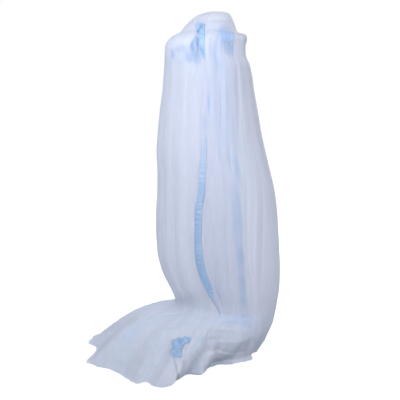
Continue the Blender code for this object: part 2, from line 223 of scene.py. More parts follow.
# The net's form.
netForm = {
    # drop below the hang point, left, right, front, back, outer and inner door edge (x), fold depth
    "rings": [
        (0.0000, 0.000, 0.000, 0.000, 0.000, -0.071, 0.052, 0.000),
        (0.0015, -0.027, 0.021, -0.024, 0.024, -0.071, 0.052, 0.000),
        (0.0060, -0.053, 0.043, -0.046, 0.046, -0.071, 0.052, 0.001),
        (0.018, -0.082, 0.054, -0.066, 0.066, -0.071, 0.052, 0.002),
        (0.036, -0.106, 0.062, -0.082, 0.082, -0.071, 0.052, 0.003),
        (0.056, -0.126, 0.070, -0.103, 0.103, -0.072, 0.051, 0.003),
        (0.078, -0.144, 0.078, -0.121, 0.121, -0.076, 0.057, 0.004),
        (0.090, -0.168, 0.112, -0.136, 0.136, -0.076, 0.059, 0.005),
        (0.106, -0.188, 0.116, -0.149, 0.149, -0.076, 0.062, 0.005),
        (0.132, -0.202, 0.110, -0.1565, 0.1565, -0.073, 0.065, 0.004),
        (0.165, -0.204, 0.111, -0.1575, 0.1575, -0.069, 0.068, 0.005),
        (0.200, -0.205, 0.126, -0.162, 0.162, -0.061, 0.070, 0.008),
        (0.245, -0.208, 0.137, -0.168, 0.168, -0.055, 0.073, 0.012),
        (0.300, -0.212, 0.145, -0.172, 0.172, -0.052, 0.078, 0.014),
        (0.380, -0.223, 0.160, -0.176, 0.178, -0.059, 0.079, 0.016),
        (0.460, -0.232, 0.174, -0.180, 0.184, -0.060, 0.080, 0.018),
        (0.540, -0.238, 0.192, -0.184, 0.190, -0.062, 0.080, 0.019),
        (0.620, -0.235, 0.212, -0.188, 0.196, -0.071, 0.080, 0.020),
        (0.700, -0.236, 0.231, -0.190, 0.200, -0.075, 0.084, 0.020),
        (0.780, -0.241, 0.242, -0.190, 0.202, -0.090, 0.092, 0.020),
        (0.860, -0.243, 0.248, -0.188, 0.202, -0.091, 0.096, 0.020),
        (0.940, -0.240, 0.253, -0.185, 0.200, -0.086, 0.105, 0.020),
        (1.020, -0.224, 0.257, -0.180, 0.196, -0.063, 0.109, 0.019),
        (1.100, -0.187, 0.255, -0.174, 0.190, -0.020, 0.114, 0.018),
        (1.165, -0.157, 0.244, -0.168, 0.182, 0.022, 0.128, 0.016),
    ],
    # share of the way to the hem, outer and inner door edge (degrees), fold depth
    "trainRings": [
        (0.12, 260, 295, 0.012), (0.28, 250, 295, 0.011), (0.45, 240, 295, 0.010),
        (0.62, 238, 294, 0.008), (0.80, 246, 294, 0.005), (1.00, 254, 294, 0.000),
    ],
    "hemEdges": (257, 294),
    # angle, x, y, how far the hem's strip lies out, how far the train stands proud halfway
    "hem": [
        (0, 0.170, 0.000, -0.012, 0.000), (22, 0.162, 0.075, -0.010, 0.002),
        (46, 0.138, 0.142, 0.002, 0.008), (70, 0.080, 0.197, 0.014, 0.012),
        (92, 0.005, 0.226, 0.018, 0.014), (116, -0.115, 0.262, 0.018, 0.018),
        (138, -0.270, 0.278, 0.019, 0.026), (152, -0.410, 0.262, 0.019, 0.036),
        (162, -0.505, 0.205, 0.019, 0.044), (170, -0.541, 0.091, 0.019, 0.048),
        (179, -0.496, 0.010, 0.019, 0.050), (188, -0.516, -0.140, 0.019, 0.044),
        (197, -0.488, -0.187, 0.019, 0.038), (208, -0.390, -0.263, 0.019, 0.032),
        (218, -0.330, -0.355, 0.019, 0.028), (225, -0.293, -0.385, 0.019, 0.024),
        (231, -0.270, -0.372, 0.019, 0.022), (240, -0.222, -0.419, 0.019, 0.022),
        (250, -0.172, -0.409, 0.019, 0.024), (257, -0.148, -0.350, 0.019, 0.026),
        (266, -0.112, -0.296, 0.018, 0.028), (273, -0.062, -0.294, 0.018, 0.028),
        (279, -0.030, -0.222, 0.017, 0.028), (286, 0.012, -0.188, 0.016, 0.028),
        (298, 0.088, -0.176, 0.014, 0.024), (309, 0.139, -0.124, 0.010, 0.016),
        (318, 0.134, -0.082, -0.004, 0.010), (338, 0.160, -0.036, -0.012, 0.001),
    ],
    # gathers: angle at the dome, angle at the hem, half width (degrees), share of the fold depth
    "gathers": [
        (8, 14, 11, 0.7), (31, 35, 10, 1.0), (53, 57, 11, 0.6), (76, 80, 12, 0.9),
        (101, 99, 10, 0.7), (124, 121, 12, 1.0), (149, 143, 11, 0.6), (171, 164, 10, 0.8),
        (192, 184, 10, 0.5), (209, 203, 9, 0.7), (228, 221, 10, 0.6), (247, 243, 9, 1.0),
        (266, 263, 9, 0.9), (285, 279, 9, 0.5), (304, 297, 10, 0.2), (323, 316, 9, 0.15),
        (343, 338, 10, 0.2),
    ],
    # soft troughs (+) and ridges (-) placed one by one: depth, half width (mm), extra thread, which also
    # paints a highlight, then the ring and the angle of each point along them
    "creases": [
        (6, 7, 0, [(10.26, 256.0), (11.42, 252.8), (12.62, 253.7), (13.66, 253.9), (14.56, 253.7)]),
        (4, 5, 0, [(7.16, 242.1), (9.62, 252.1)]),
        (-4, 4.6, 1, [(8.08, 251.3), (9.62, 255.5)]),
        (-2, 34, 0.34, [(7.2, 322), (9.6, 328), (11.4, 330)]),
        (5, 4, 0, [(7.70, 253.8), (9.18, 260.0)]),
        (3, 4, 0, [(9.62, 259.1), (11.26, 258.8)]),
        (2.5, 5, 0, [(13.24, 241.5), (14.76, 243.3)]),
        (-4, 9, 0, [(4.50, 262.6), (9.62, 274.0), (12.68, 271.4)]),
        (3, 8, 0, [(5.22, 282.9), (9.62, 285.8), (12.20, 280.4)]),
        (-4, 8, 0, [(11.90, 289.8), (13.48, 288.7), (14.76, 287.4)]),
        (3, 5, 0, [(13.10, 284.4), (13.82, 283.8), (14.74, 281.9)]),
        (2, 9, 0, [(8.88, 313.0), (11.58, 310.0), (13.48, 307.7), (14.96, 304.0)]),
        (-3, 7, 0, [(7.52, 324.9), (9.52, 336.7)]),
        (-4.5, 10, 0, [(14.74, 285.4), (15.78, 284.0), (16.52, 283.6)]),
        (5, 6, 0, [(15.60, 289.4), (16.34, 287.9), (16.96, 288.6), (17.38, 289.7)]),
        (2.5, 6, 0, [(14.46, 269.7), (15.12, 269.1)]),
        (2.5, 7, 0, [(16.24, 267.0), (17.66, 263.0)]),
        (2.5, 6, 0, [(15.48, 275.3), (16.24, 273.0), (17.18, 269.8)]),
        (4, 7, 0, [(18.12, 260.4), (19.18, 259.3), (20.54, 259.6), (21.14, 259.8)]),
        (5, 7, 0, [(18.42, 263.9), (19.66, 264.6), (21.14, 263.9), (22.42, 262.1), (23.68, 262.7)]),
        (4, 7, 0, [(18.42, 277.4), (19.96, 276.8), (21.14, 278.6), (22.82, 275.5), (24.46, 275.9)]),
        (-4, 10, 0, [(19.86, 270.7), (21.52, 269.7), (23.04, 266.7)]),
        (4, 6, 0, [(21.44, 260.1), (22.32, 260.6), (23.04, 262.7), (24.72, 269.6)]),
        (-3, 9, 0, [(17.98, 239.8), (20.60, 239.3)]),
        (3, 9, 0, [(18.42, 226.8), (20.98, 226.2), (22.40, 224.0)]),
        (3, 8, 0, [(17.02, 302.0), (18.64, 297.9), (21.18, 296.5), (23.52, 299.6)]),
        (3.5, 9, 0, [(17.66, 320.1), (19.80, 315.6), (22.16, 310.9)]),
        (-3, 9, 0, [(16.78, 315.2), (19.66, 306.8), (22.12, 303.7), (23.94, 305.5)]),
        (3, 7, 0, [(16.64, 212.1), (18.56, 207.7), (20.56, 213.8)]),
        (3, 7, 0, [(9.54, 210.8), (10.44, 216.3)]),
        (-2, 6, 0, [(8.64, 232.5), (10.02, 229.1)]),
        (3, 7, 0, [(9.60, 239.3), (11.08, 245.4)]),
        (10, 5, 0, [(25.6, 200), (25.42, 203.7), (24.92, 210.7), (24.42, 220.7), (24.1, 230)]),
        (4, 8, 0, [(22.84, 232.3), (24.04, 226.8)]),
        (-2.5, 7, 0.2, [(25.50, 261.1), (25.20, 276.4), (25.14, 295.4)]),
        (3, 7, 0, [(24.24, 261.6), (24.34, 276.7)]),
        (2, 6, 0, [(27.56, 261.0), (27.70, 276.6)]),
        (2, 6, 0, [(28.54, 282.2), (28.36, 296.3)]),
        (3, 7, 0, [(28.58, 266.9), (28.88, 280.6), (29.18, 299.8)]),
        (-2, 8, 0, [(28.16, 266.5), (27.98, 281.2), (27.40, 296.7)]),
        (-2, 7, 0, [(26.32, 249.0), (26.60, 272.5), (26.52, 291.3)]),
        (2, 6, 0, [(29.06, 274.1), (29.76, 297.9)]),
        (-1.5, 2, 0.6, [(28.44, 257.6), (29.36, 268.2)]),
        (-1.5, 2, 0.6, [(29.54, 282.3), (30.04, 293.7)]),
        (-5, 12, 0, [(28.92, 189.1), (27.66, 202.3), (26.24, 229.5), (26.40, 257.0)]),
        (4, 10, 0, [(28.94, 199.5), (27.86, 211.9), (27.20, 229.4)]),
        (4, 8, 0, [(29.08, 205.9), (28.30, 216.7), (28.06, 232.7)]),
        (4, 9, 0, [(29.12, 174.0), (27.70, 182.9), (25.96, 200.7)]),
        (-4, 8, 0, [(29.60, 172.1), (28.28, 178.6), (25.88, 188.3)]),
        (4, 7, 0, [(27.88, 229.1), (28.74, 230.7), (29.90, 228.3)]),
        (-4, 8, 0, [(28.76, 241.0), (29.40, 237.6), (30.30, 237.8)]),
        (5, 6, 0, [(28.16, 237.0), (28.80, 236.3), (29.40, 234.4)]),
        (4, 6, 0, [(28.70, 250.2), (29.66, 259.1)]),
        (-4, 5, 0.2, [(29.58, 263.0), (30.48, 269.4)]),
        (4, 8, 0, [(28.80, 212.1), (29.60, 210.2), (30.66, 211.5)]),
        (-3, 8, 0, [(28.50, 218.5), (29.46, 218.8), (30.24, 220.4)]),
        (4, 8, 0, [(29.30, 199.5), (29.78, 199.3), (30.26, 198.7)]),
        (-6, 32, 0, [(25.08, 258.8), (27.28, 261.3), (28.78, 260.8), (29.72, 260.4)]),
        (3, 22, 0, [(25.5, 273), (27.2, 275), (29.4, 277)]),
        (-12, 34, 0, [(26.2, 293), (28.2, 288), (29.7, 286)]),
        # these two only paint a highlight and add thread
        (0, 13, 0.7, [(28.9, 266), (28.9, 281), (29.2, 293)]),
        (0, 12, 1.0, [(28.8, 249), (30.1, 253), (31, 257)]),
        (5, 9, 0, [(9.5, 40), (14, 44), (20, 41)]),
        (-4, 10, 0, [(10, 58), (15, 55), (22, 60)]),
        (6, 8, 0, [(9, 72), (13, 75), (17, 71), (23, 74)]),
        (-5, 9, 0, [(9.2, 88), (16, 91), (21, 87)]),
        (5, 8, 0, [(10, 104), (18, 101), (24, 106)]),
        (4, 7, 0, [(14, 118), (20, 121), (25, 117)]),
        (-4, 9, 0, [(9.4, 131), (15, 134), (21, 129)]),
        (6, 10, 0, [(9, 150), (14, 146), (19, 150), (23, 154)]),
        (4, 8, 0, [(11, 166), (17, 169), (22, 165)]),
        (-4, 9, 0, [(10, 181), (16, 184), (22, 180)]),
        (5, 9, 0, [(9.4, 8), (15, 11), (22, 7)]),
        (4, 8, 0, [(9.3, 24), (13, 27), (18, 23)]),
        (6, 12, 0, [(24.6, 120), (26.5, 124), (29.5, 133)]),
        (-5, 12, 0, [(24.8, 136), (27, 143), (30, 147)]),
        (5, 11, 0, [(25, 98), (27, 101), (29.8, 99)]),
        (-4, 10, 0, [(25, 84), (27, 86), (29.5, 83)]),
        (5, 10, 0, [(25.2, 152), (27.5, 158), (30, 160)]),
        (4, 10, 0, [(25, 70), (27, 67), (29.5, 70)]),
    ],
    # places where blue cloth close under the net shows through it: ring, angle, half height and
    # half width (mm), change of the thread's share, share of blue
    "patches": [
        (18.9, 287.7, 123, 18, -0.28, 0.09), (20.9, 289, 43, 13, -0.35, 0.13),
        (22.2, 288.2, 56, 13, -0.3, 0.13), (23.2, 285.8, 41, 13, -0.25, 0.14),
        (16.8, 293.3, 60, 12, -0.15, 0.17), (9.6, 254.8, 49, 19, -0.65, 0.14),
        (7.2, 296.3, 41, 28, -0.7, 0.25), (9.3, 305.1, 37, 19, -0.5, 0.25),
        (10, 217.2, 19, 17, -0.25, 0.29), (9.4, 235.8, 17, 33, -0.25, 0.22),
        (10.4, 243.8, 19, 15, -0.25, 0.25), (9.7, 331.3, 38, 49, -0.1, 0.11),
        (8.5, 296.5, 44, 24, -0.3, 0.12),
        (10.5, 283.7, 67, 16, -0.1, 0.16), (13.6, 269.4, 37, 4, 0, 0.55),
        (14.5, 264.6, 26, 12, 0, 0.16), (14, 284.2, 186, 43, 0, 0.11),
        (9.2, 266.5, 89, 11, -0.2, 0), (28.2, 200.7, 45, 28, 0, 0.14),
        (27.3, 258.8, 19, 27, 0, 0.16), (28.7, 235.9, 30, 19, 0, 0.11),
        (29.2, 228.6, 15, 22, 0, 0.09), (8.8, 251.2, 24, 6.5, -0.5, 0.9),
        (8.7, 258.2, 17, 3.5, 0, 1), (9.8, 264, 18, 3.9, 0, 0.5),
        (10.3, 250.6, 26, 4, 0, 0.25), (10.7, 256.4, 30, 4.9, 0, 0.25),
        (25.5, 280, 45, 110, 0, 0.12), (25.1, 284, 26, 60, 0, 0.14), (24.3, 250, 40, 60, -0.16, 0.04),
    ],
    # painted shade, where the train's front and the hem of the foot are greyer and darker: angle, half
    # width (degrees), the ring where it starts, how many rings it grows over, share of grey
    "paintedShade": [(252, 52, 22.5, 4, 0.36), (279, 28, 29.3, 0.9, 0.60)],
    "creaseEnds": (0.05, 0.7),  # how the placed creases run out: share left at the end, and power
    "slitRing": 4,              # the doorway's slit starts on this ring
    "slitRings": 0.6,           # and the flaps part over this many
    "hemStrip": 0.020,
    "wallReach": 0.25,          # a longer stretch of train than this is a full slope
    "hemCalmAngle": 268,        # round this angle the hem's bends die away up the train
    "hemCalmWidth": 38,
    "hemCalmTurns": (-14, -7, 0, 7, 14),    # their mean over these takes their place
    "footRing": 24.4,           # the bend where the skirt runs out on to the floor
    "footRings": 1.4,
    "footPasses": 26,           # how often that bend is smoothed
    "lapShare": 1 / 8,          # of the columns, where the two flaps lie over each other
    "flapGap": 0.0028,          # each flap's step from the surface midway between them
    "fadeShare": 3 / 64,        # of the columns, where that step dies away
    "floorGap": 0.0008,         # no point of it lies lower over the floor
    "lapOnFloor": 0.004,        # the outer flap's height over the inner one on the floor
    "columns": 384,
    "rowStep": 0.0085,
    "trainLength": 0.36,        # for the number of rows in it
    "clothRound": 1.6,          # metres of weave round the net
}
skirtRings = len(netForm["rings"]) - 1


# Rows of a table read at fractional row numbers, on a curve that never overshoots.
def smoothRows(table, at):
    table = np.array(table, float)
    rise = np.diff(table, axis=0)
    slope = np.zeros_like(table)
    product = rise[1:] * rise[:-1]
    total = rise[1:] + rise[:-1]
    slope[1:-1] = np.where(product > 0, 2 * product / np.where(total == 0, 1, total), 0)
    slope[0], slope[-1] = rise[0], rise[-1]
    low = np.clip(np.floor(at).astype(int), 0, len(table) - 2)
    s = (at - low)[:, None]
    a, b = table[low], table[low + 1]
    return (a * (1 + 2 * s) * (1 - s) ** 2 + b * s * s * (3 - 2 * s)
            + slope[low] * s * (1 - s) ** 2 + slope[low + 1] * s * s * (s - 1))


def ease(share):
    share = np.clip(share, 0, 1)
    return share * share * (3 - 2 * share)


def between(pair, share):
    return pair[0] + (pair[1] - pair[0]) * share


def turnFrom(angle, start):
    return (angle - start + 180) % 360 - 180


def apartDegrees(a, b):
    return np.abs(turnFrom(a, b))


# 1 at the middle angle, dying away on both sides.
def nearAngle(angle, middle, width):
    return np.exp(-(apartDegrees(angle, middle) / width) ** 2)


# Sum of sine waves: size, count for each turn, phase.
def sines(table, a):
    return sum(size * np.sin(count * a + phase) for size, count, phase in table)


# Closed smooth curve through the hem table: x, y, lap and swell at each angle.
def hemAt(angle):
    table = np.array(netForm["hem"], float)
    angle = angle % 360
    below = np.searchsorted(table[:, 0], angle, side="right") - 1
    count = len(table)
    spans = (np.roll(table[:, 0], -1) - table[:, 0]) % 360
    s = ((angle - table[below, 0]) / spans[below])[..., None]
    a, b, c, d = (table[(below + k) % count, 1:] for k in (-1, 0, 1, 2))
    place = b + 0.5 * s * (c - a + s * (2 * a - 5 * b + 4 * c - d + s * (3 * b - a - 3 * c + d)))
    return [place[..., k] for k in range(4)]


# Degrees of a door edge on a ring, from its x.
def edgeAngle(ring, x):
    centre, half = (ring[1] + ring[2]) / 2, (ring[2] - ring[1]) / 2
    return 360 - math.degrees(math.acos((x - centre) / half))


def doorAngles():
    slit = netForm["slitRing"]
    pairs = [[edgeAngle(r, r[5]), edgeAngle(r, r[6])] for r in netForm["rings"][slit:]]
    pairs = [pairs[0]] * slit + pairs
    pairs += [[r[1], r[2]] for r in netForm["trainRings"]]
    return pairs + [list(netForm["hemEdges"])]


# Row numbers of the fine net: each stretch between two rings is cut into steps of about one size.
def fineRows():
    rings = np.array(netForm["rings"])
    steps = np.diff(np.stack([rings[:, 0], rings[:, 3]], 1), axis=0)
    lengths = list(np.linalg.norm(steps, axis=1))
    shares = [0] + [r[0] for r in netForm["trainRings"]]
    lengths += [netForm["trainLength"] * (b - a) for a, b in zip(shares, shares[1:])]
    lengths.append(netForm["hemStrip"])
    rows = []
    for ring, length in enumerate(lengths):
        count = max(2, math.ceil(length / netForm["rowStep"]))
        rows += [ring + k / count for k in range(count)]
    return np.array(rows[1:] + [len(lengths)])


# The skirt's points at each row and angle.
def skirtPoints(rows, cosine, sine):
    ring = smoothRows(netForm["rings"], np.minimum(rows, skirtRings))
    centre, half = (ring[:, 1:2] + ring[:, 2:3]) / 2, (ring[:, 2:3] - ring[:, 1:2]) / 2
    x = centre + half * cosine
    y = np.where(sine > 0, ring[:, 4:5], -ring[:, 3:4]) * sine
    z = np.repeat(-ring[:, 0:1], cosine.shape[1], 1)
    return np.stack([x, y, z], -1), ring[:, 7]


# The train's points: from the skirt's last ring out to the hem, which lies on the floor.
def trainPoints(skirt, angle, cosine, sine, step, strip):
    hemX, hemY, lapOut, swell = hemAt(angle)
    around = [hemAt(angle + turned)[:2] for turned in netForm["hemCalmTurns"]]
    calmX, calmY = np.mean(around, 0)
    calm = nearAngle(angle, netForm["hemCalmAngle"], netForm["hemCalmWidth"]) * (1 - step ** 4)
    hemX, hemY = between((hemX, calmX), calm), between((hemY, calmY), calm)
    x, y, z = skirt[..., 0], skirt[..., 1], skirt[..., 2]
    outX, outY = hemX - x, hemY - y
    reach = np.hypot(outX, outY) + 1e-9
    spread = ease(reach / netForm["wallReach"])
    dirX, dirY = between((cosine, outX / reach), spread), between((sine, outY / reach), spread)
    size = np.hypot(dirX, dirY)
    topX, topY = hemX - dirX / size * lapOut, hemY - dirY / size * lapOut
    topZ = restZ + np.sqrt(netForm["hemStrip"] ** 2 - lapOut ** 2)
    along = between((step * step, step), spread)
    slope = [between((x, topX), along), between((y, topY), along), between((z, topZ), step)]
    proud = np.stack([cosine * (1 - spread), sine * (1 - spread), spread], -1)
    proud /= np.linalg.norm(proud, axis=-1, keepdims=True)
    slope = np.stack(slope, -1) + proud * (swell * np.sin(np.pi * step))[..., None]
    hemPoint = np.stack([hemX, hemY, np.full_like(hemX, restZ)], -1)
    return between((slope, hemPoint), strip[..., None])


# The net's middle surface without gathers: grids of points, angles, and each row's fold depth.
def plainSurface(rows, turn):
    doors = smoothRows(doorAngles(), rows)
    lap = netForm["lapShare"]
    inner, outer = doors[:, 1:2], doors[:, 0:1]
    angle = np.where(turn < lap, outer + (inner - outer) * turn / lap,
                     inner + (outer + 360 - inner) * (turn - lap) / (1 - lap))
    cosine, sine = np.cos(np.radians(angle)), np.sin(np.radians(angle))
    skirt, fold = skirtPoints(rows, cosine, sine)
    shares = [0] + [r[0] for r in netForm["trainRings"]]
    number = np.clip(rows - skirtRings, 0, len(shares) - 1)
    step = np.interp(number, np.arange(len(shares)), shares)[:, None]
    strip = np.clip(rows - skirtRings - (len(shares) - 1), 0, 1)[:, None]
    train = trainPoints(skirt, angle, cosine, sine, step, strip)
    folds = [netForm["rings"][-1][7]] + [r[3] for r in netForm["trainRings"]]
    below = rows > skirtRings
    fold = np.where(below, np.interp(number, np.arange(len(shares)), folds), fold)
    return np.where(below[:, None, None], train, skirt), angle, fold


# Rounds the bend where the skirt runs out on to the floor.
def roundFoot(points, rows):
    share = np.exp(-((rows - netForm["footRing"]) / netForm["footRings"]) ** 2)[1:-1, None, None]
    for _ in range(netForm["footPasses"]):
        points[1:-1] += share * ((points[:-2] + points[2:]) / 2 - points[1:-1]) * 0.5
    return points


def surfaceNormals(points):
    down = np.gradient(points, axis=0)
    side = np.roll(points, -1, 1) - np.roll(points, 1, 1)
    normal = np.cross(down, side)
    return normal / (np.linalg.norm(normal, axis=-1, keepdims=True) + 1e-12)


# The solid's gathers: how deep they go at each point; way runs from 0 at the dome to 1 at the hem.
def gatherDepth(angle, way):
    depth = np.zeros_like(angle)
    for top, hem, width, share in netForm["gathers"]:
        apart = apartDegrees(angle, between((top, hem), way))
        depth += share * np.cos(np.pi / 2 * np.clip(apart / width, 0, 1)) ** 2
    return np.minimum(depth, 1)


# Metres for one ring number and for one degree, at each point of the grid.
def localScale(points, rows, angle):
    perRow = np.linalg.norm(np.gradient(points, axis=0), axis=-1) / np.gradient(rows)[:, None]
    turned = (np.roll(angle, -1, 1) - np.roll(angle, 1, 1)) % 360
    perDegree = np.linalg.norm(np.roll(points, -1, 1) - np.roll(points, 1, 1), axis=-1) / turned
    return perRow, perDegree


# The place nearest to x, y on a line from 0, 0: share of the way along it, and distance squared.
def nearestOnLine(x, y, endX, endY):
    share = np.clip((x * endX + y * endY) / (endX ** 2 + endY ** 2 + 1e-12), 0, 1)
    return share, (x - share * endX) ** 2 + (y - share * endY) ** 2


# The placed creases: how deep they go at each point, and the thread they add, which also sets their painted
# highlight.
def creaseDepth(rows, angle, perRow, perDegree):
    depth, thread = np.zeros_like(angle), np.zeros_like(angle)
    for deep, wide, threadAndHighlight, places in netForm["creases"]:
        nearest, along = np.full_like(angle, 1e9), np.zeros_like(angle)
        for number, ((r0, a0), (r1, a1)) in enumerate(zip(places, places[1:])):
            down, side = (rows[:, None] - r0) * perRow, turnFrom(angle, a0) * perDegree
            reachDown, reachSide = (r1 - r0) * perRow, turnFrom(a1, a0) * perDegree
            share, apart = nearestOnLine(down, side, reachDown, reachSide)
            along = np.where(apart < nearest, (number + share) / (len(places) - 1), along)
            nearest = np.minimum(apart, nearest)
        least, power = netForm["creaseEnds"]
        ends = (least + (1 - least) * np.sin(np.pi * along)) ** power
        shape = np.exp(-nearest / (wide / 1000) ** 2) * ends
        depth += deep / 1000 * shape
        thread += threadAndHighlight * shape
    return depth, thread


# Fine folds of the net.
fineFolds = {
    # folds round the net, how they drift on the way down, depth, phase
    "waves": [
        (17, 2.1, 0.0010, 1.4), (26, -2.6, 0.0008, 2.1), (41, 3.3, 0.0006, 5.2),
        (58, -3.6, 0.0005, 1.3), (77, 4.0, 0.0004, 3.9),
    ],
    "wander": [(0.9, 3, 5, 1), (0.6, 7, -9, 2)],    # of the folds: size, round, down, phases
    "topDrop": 0.05,            # they start this far down
    "topFade": 0.35,
    "floorFade": 0.2,           # and get shallower this far above the floor
    "floorCalm": 0.6,
    "calmAngle": 322,           # round this angle the folds lie flatter
    "calmWidth": 42,
    "calmShare": 0.75,
    "gatherShare": 0.30,        # how much of the solid's gathers the sheer net shows
    "hoopGathers": 0.0006,      # depth of the small gathers over the hoop
    "hoopCount": 58,
    "hoopWander": [(1.5, 5, 0), (1.2, 11, 1)],
    "hoopAbove": 0.02,          # they are deepest this far above the hoop
    "hoopReach": 0.05,
    "hoopCalm": 0.7,            # how much they take the place of the other folds
    "hemRuffle": 0.0035,        # how far the hem wanders in and out
    # its waves: share, count round the net, how far they wander, count of that, phase
    "ruffles": [(1, 31, 2, 9, 0), (0.6, 53, 3, 13, 1)],
    "ruffleRings": 1.4,
    # crumpled look of the train: folds per metre along x and y, height, phase
    "crumples": [
        (19, 9, 0.0009, 0.3), (11, 23, 0.0010, 1.9), (-31, 18, 0.0007, 4.0),
        (8, 52, 0.0005, 2.6), (61, -18, 0.0005, 5.1), (45, 70, 0.0004, 0.9),
    ],
    "crumpleBends": [(1.2, 11, -7, 1), (0.8, 5, 17, 2)],
    "crumpleRing": 24.6,        # they start on this ring
    "crumpleRings": 1.6,
    "hemCalm": 0.7,             # how much flatter they are on the hem's strip
}


# A soft ridge and trough pattern between -1 and 1.
def pleat(phase):
    wave = np.sin(phase)
    return np.abs(wave) ** 0.8 * np.sign(wave)


def fineFoldDepth(angle, rows):
    a = np.radians(angle)
    v = (rows / rows[-1])[:, None]
    depth = np.zeros_like(a)
    for number, (count, drift, size, phase) in enumerate(fineFolds["waves"]):
        warp = sum(much * np.sin(turns * a + down * v + phases * phase)
                   for much, turns, down, phases in fineFolds["wander"])
        uneven = 0.5 + 0.5 * np.sin(2 * a + (3 + number) * v * 4 + 3 * phase)
        depth += size * uneven * pleat(count * a + drift * v * 3 + warp + phase)
    calm = nearAngle(angle, fineFolds["calmAngle"], fineFolds["calmWidth"])
    return depth * (1 - fineFolds["calmShare"] * calm)


# Soft sharp-topped wrinkles where the net lies crushed.
def crumpleHeight(points):
    x, y = points[..., 0], points[..., 1]
    height = np.zeros_like(x)
    for perX, perY, size, phase in fineFolds["crumples"]:
        bend = sum(much * np.sin(alongX * x + alongY * y + phases * phase)
                   for much, alongX, alongY, phases in fineFolds["crumpleBends"])
        wave = np.sin(np.pi * (perX * x + perY * y) + bend + phase)
        height += size * (1 - 2 * np.abs(wave) ** 0.8)
    return height


# How much thread meets the eye, between 0 and 1.
threadShare = {
    "plain": 0.50,
    "steep": 0.30,              # more in steep folds
    "hoop": 0.35,               # more over the hoop
    "hoopAbove": 0.005,
    "hoopReach": 0.055,
    "dome": -0.25,              # less on the dome
    "domeDrop": 0.05,
    "domeFade": 0.06,
    "trainAngle": 205,          # the train, but not the foot's right
    "trainWidth": 110,
    "trainFade": 50,
    # on the foot's right and on the train: the ring where it grows denser, rings, how much
    "denserRing": (20.5, 22.3),
    "denserRings": (8, 4.2),
    "denserMore": (0.17, 0.47),
    "hemRings": 0.35,           # full on the hem
    "hemFade": 0.1,
}


def threadDensity(rows, angle, drop, steep, thread):
    form = threadShare
    overHoop = np.exp(-((drop + hoopCentre.z + form["hoopAbove"]) / form["hoopReach"]) ** 2)
    density = form["plain"] + form["steep"] * steep + form["hoop"] * overHoop + thread
    train = ease((form["trainWidth"] - apartDegrees(angle, form["trainAngle"])) / form["trainFade"])
    denser = (rows[:, None] - between(form["denserRing"], train)) / between(form["denserRings"], train)
    density = np.maximum(density, form["plain"] + between(form["denserMore"], train) * ease(denser))
    return density + form["dome"] * (1 - ease((drop - form["domeDrop"]) / form["domeFade"]))


# Four values at each point for the material: shares of thread, of blue close under the net, of painted
# highlight and of painted grey shade.
def netLooks(rows, angle, drop, steep, thread, perRow, perDegree):
    density = threadDensity(rows, angle, drop, steep, thread)
    blue = np.zeros_like(density)
    for ring, middle, high, wide, change, tint in netForm["patches"]:
        apartDown = (rows[:, None] - ring) * perRow / (high / 1000)
        apartSide = turnFrom(angle, middle) * perDegree / (wide / 1000)
        near = np.exp(-(apartDown ** 2 + apartSide ** 2) ** 1.5)
        density += change * near
        blue += tint * near
    fromHem = rows - rows[-1] + threadShare["hemRings"]
    density = np.maximum(density, ease(fromHem / threadShare["hemFade"])[:, None])
    # painted shade: greyer and darker on the train's front and the foot's hem
    paintedShade = sum(most * nearAngle(angle, middle, wide) * ease((rows - first) / length)[:, None]
               for middle, wide, first, length, most in netForm["paintedShade"])
    # the creases' extra thread is also the share of painted highlight
    return np.clip(np.stack([density, blue, np.maximum(thread, 0), paintedShade], -1), 0, 1)


def ruffleHem(points, a, rows):
    wave = sum(size * np.sin(count * a + much * np.sin(slow * a) + phase)
               for size, count, much, slow, phase in fineFolds["ruffles"])
    share = ease((rows - rows[-1]) / fineFolds["ruffleRings"] + 1)[:, None]
    outwards = np.stack([np.cos(a), np.sin(a)], -1)
    points[..., :2] += outwards * (fineFolds["hemRuffle"] * share * wave)[..., None]


def makeNetSurface():
    rows = fineRows()
    turn = np.arange(netForm["columns"]) / netForm["columns"]
    plain, angle, fold = plainSurface(rows, turn)
    plain = roundFoot(plain, rows)
    way = ((rows - 1) / (rows[-1] - 1))[:, None]
    depth = fineFolds["gatherShare"] * fold[:, None] * gatherDepth(angle, way)

    drop, a = -plain[..., 2], np.radians(angle)
    nearHoop = np.exp(-((drop + hoopCentre.z + fineFolds["hoopAbove"]) / fineFolds["hoopReach"]) ** 2)
    low = ease((drop + floorZ) / fineFolds["floorFade"] + 1)
    fineShare = ease((drop - fineFolds["topDrop"]) / fineFolds["topFade"])
    fineShare = fineShare * (1 - fineFolds["floorCalm"] * low) * (1 - fineFolds["hoopCalm"] * nearHoop)
    depth += fineShare * fineFoldDepth(angle, rows)
    small = pleat(fineFolds["hoopCount"] * a + sines(fineFolds["hoopWander"], a))
    depth += fineFolds["hoopGathers"] * nearHoop * small

    perRow, perDegree = localScale(plain, rows, angle)
    # thread: the creases' extra thread, which the material also shows as a painted highlight
    byHand, thread = creaseDepth(rows, angle, perRow, perDegree)
    crushed = ease((rows - fineFolds["crumpleRing"]) / fineFolds["crumpleRings"])
    crushed = crushed * (1 - fineFolds["hemCalm"] * ease(rows - rows[-1] + 1))
    depth += byHand - crushed[:, None] * crumpleHeight(plain)
    points = plain - surfaceNormals(plain) * depth[..., None]
    ruffleHem(points, a, rows)
    below = rows > skirtRings
    points[below, :, 2] = np.maximum(points[below, :, 2], restZ)

    widths = [np.linalg.norm(np.roll(grid, -1, 1) - grid, axis=-1) for grid in (plain, points)]
    steep = np.clip(widths[1] / (widths[0] + 1e-9) - 1, 0, 1)
    return rows, points, netLooks(rows, angle, drop, steep, thread, perRow, perDegree)


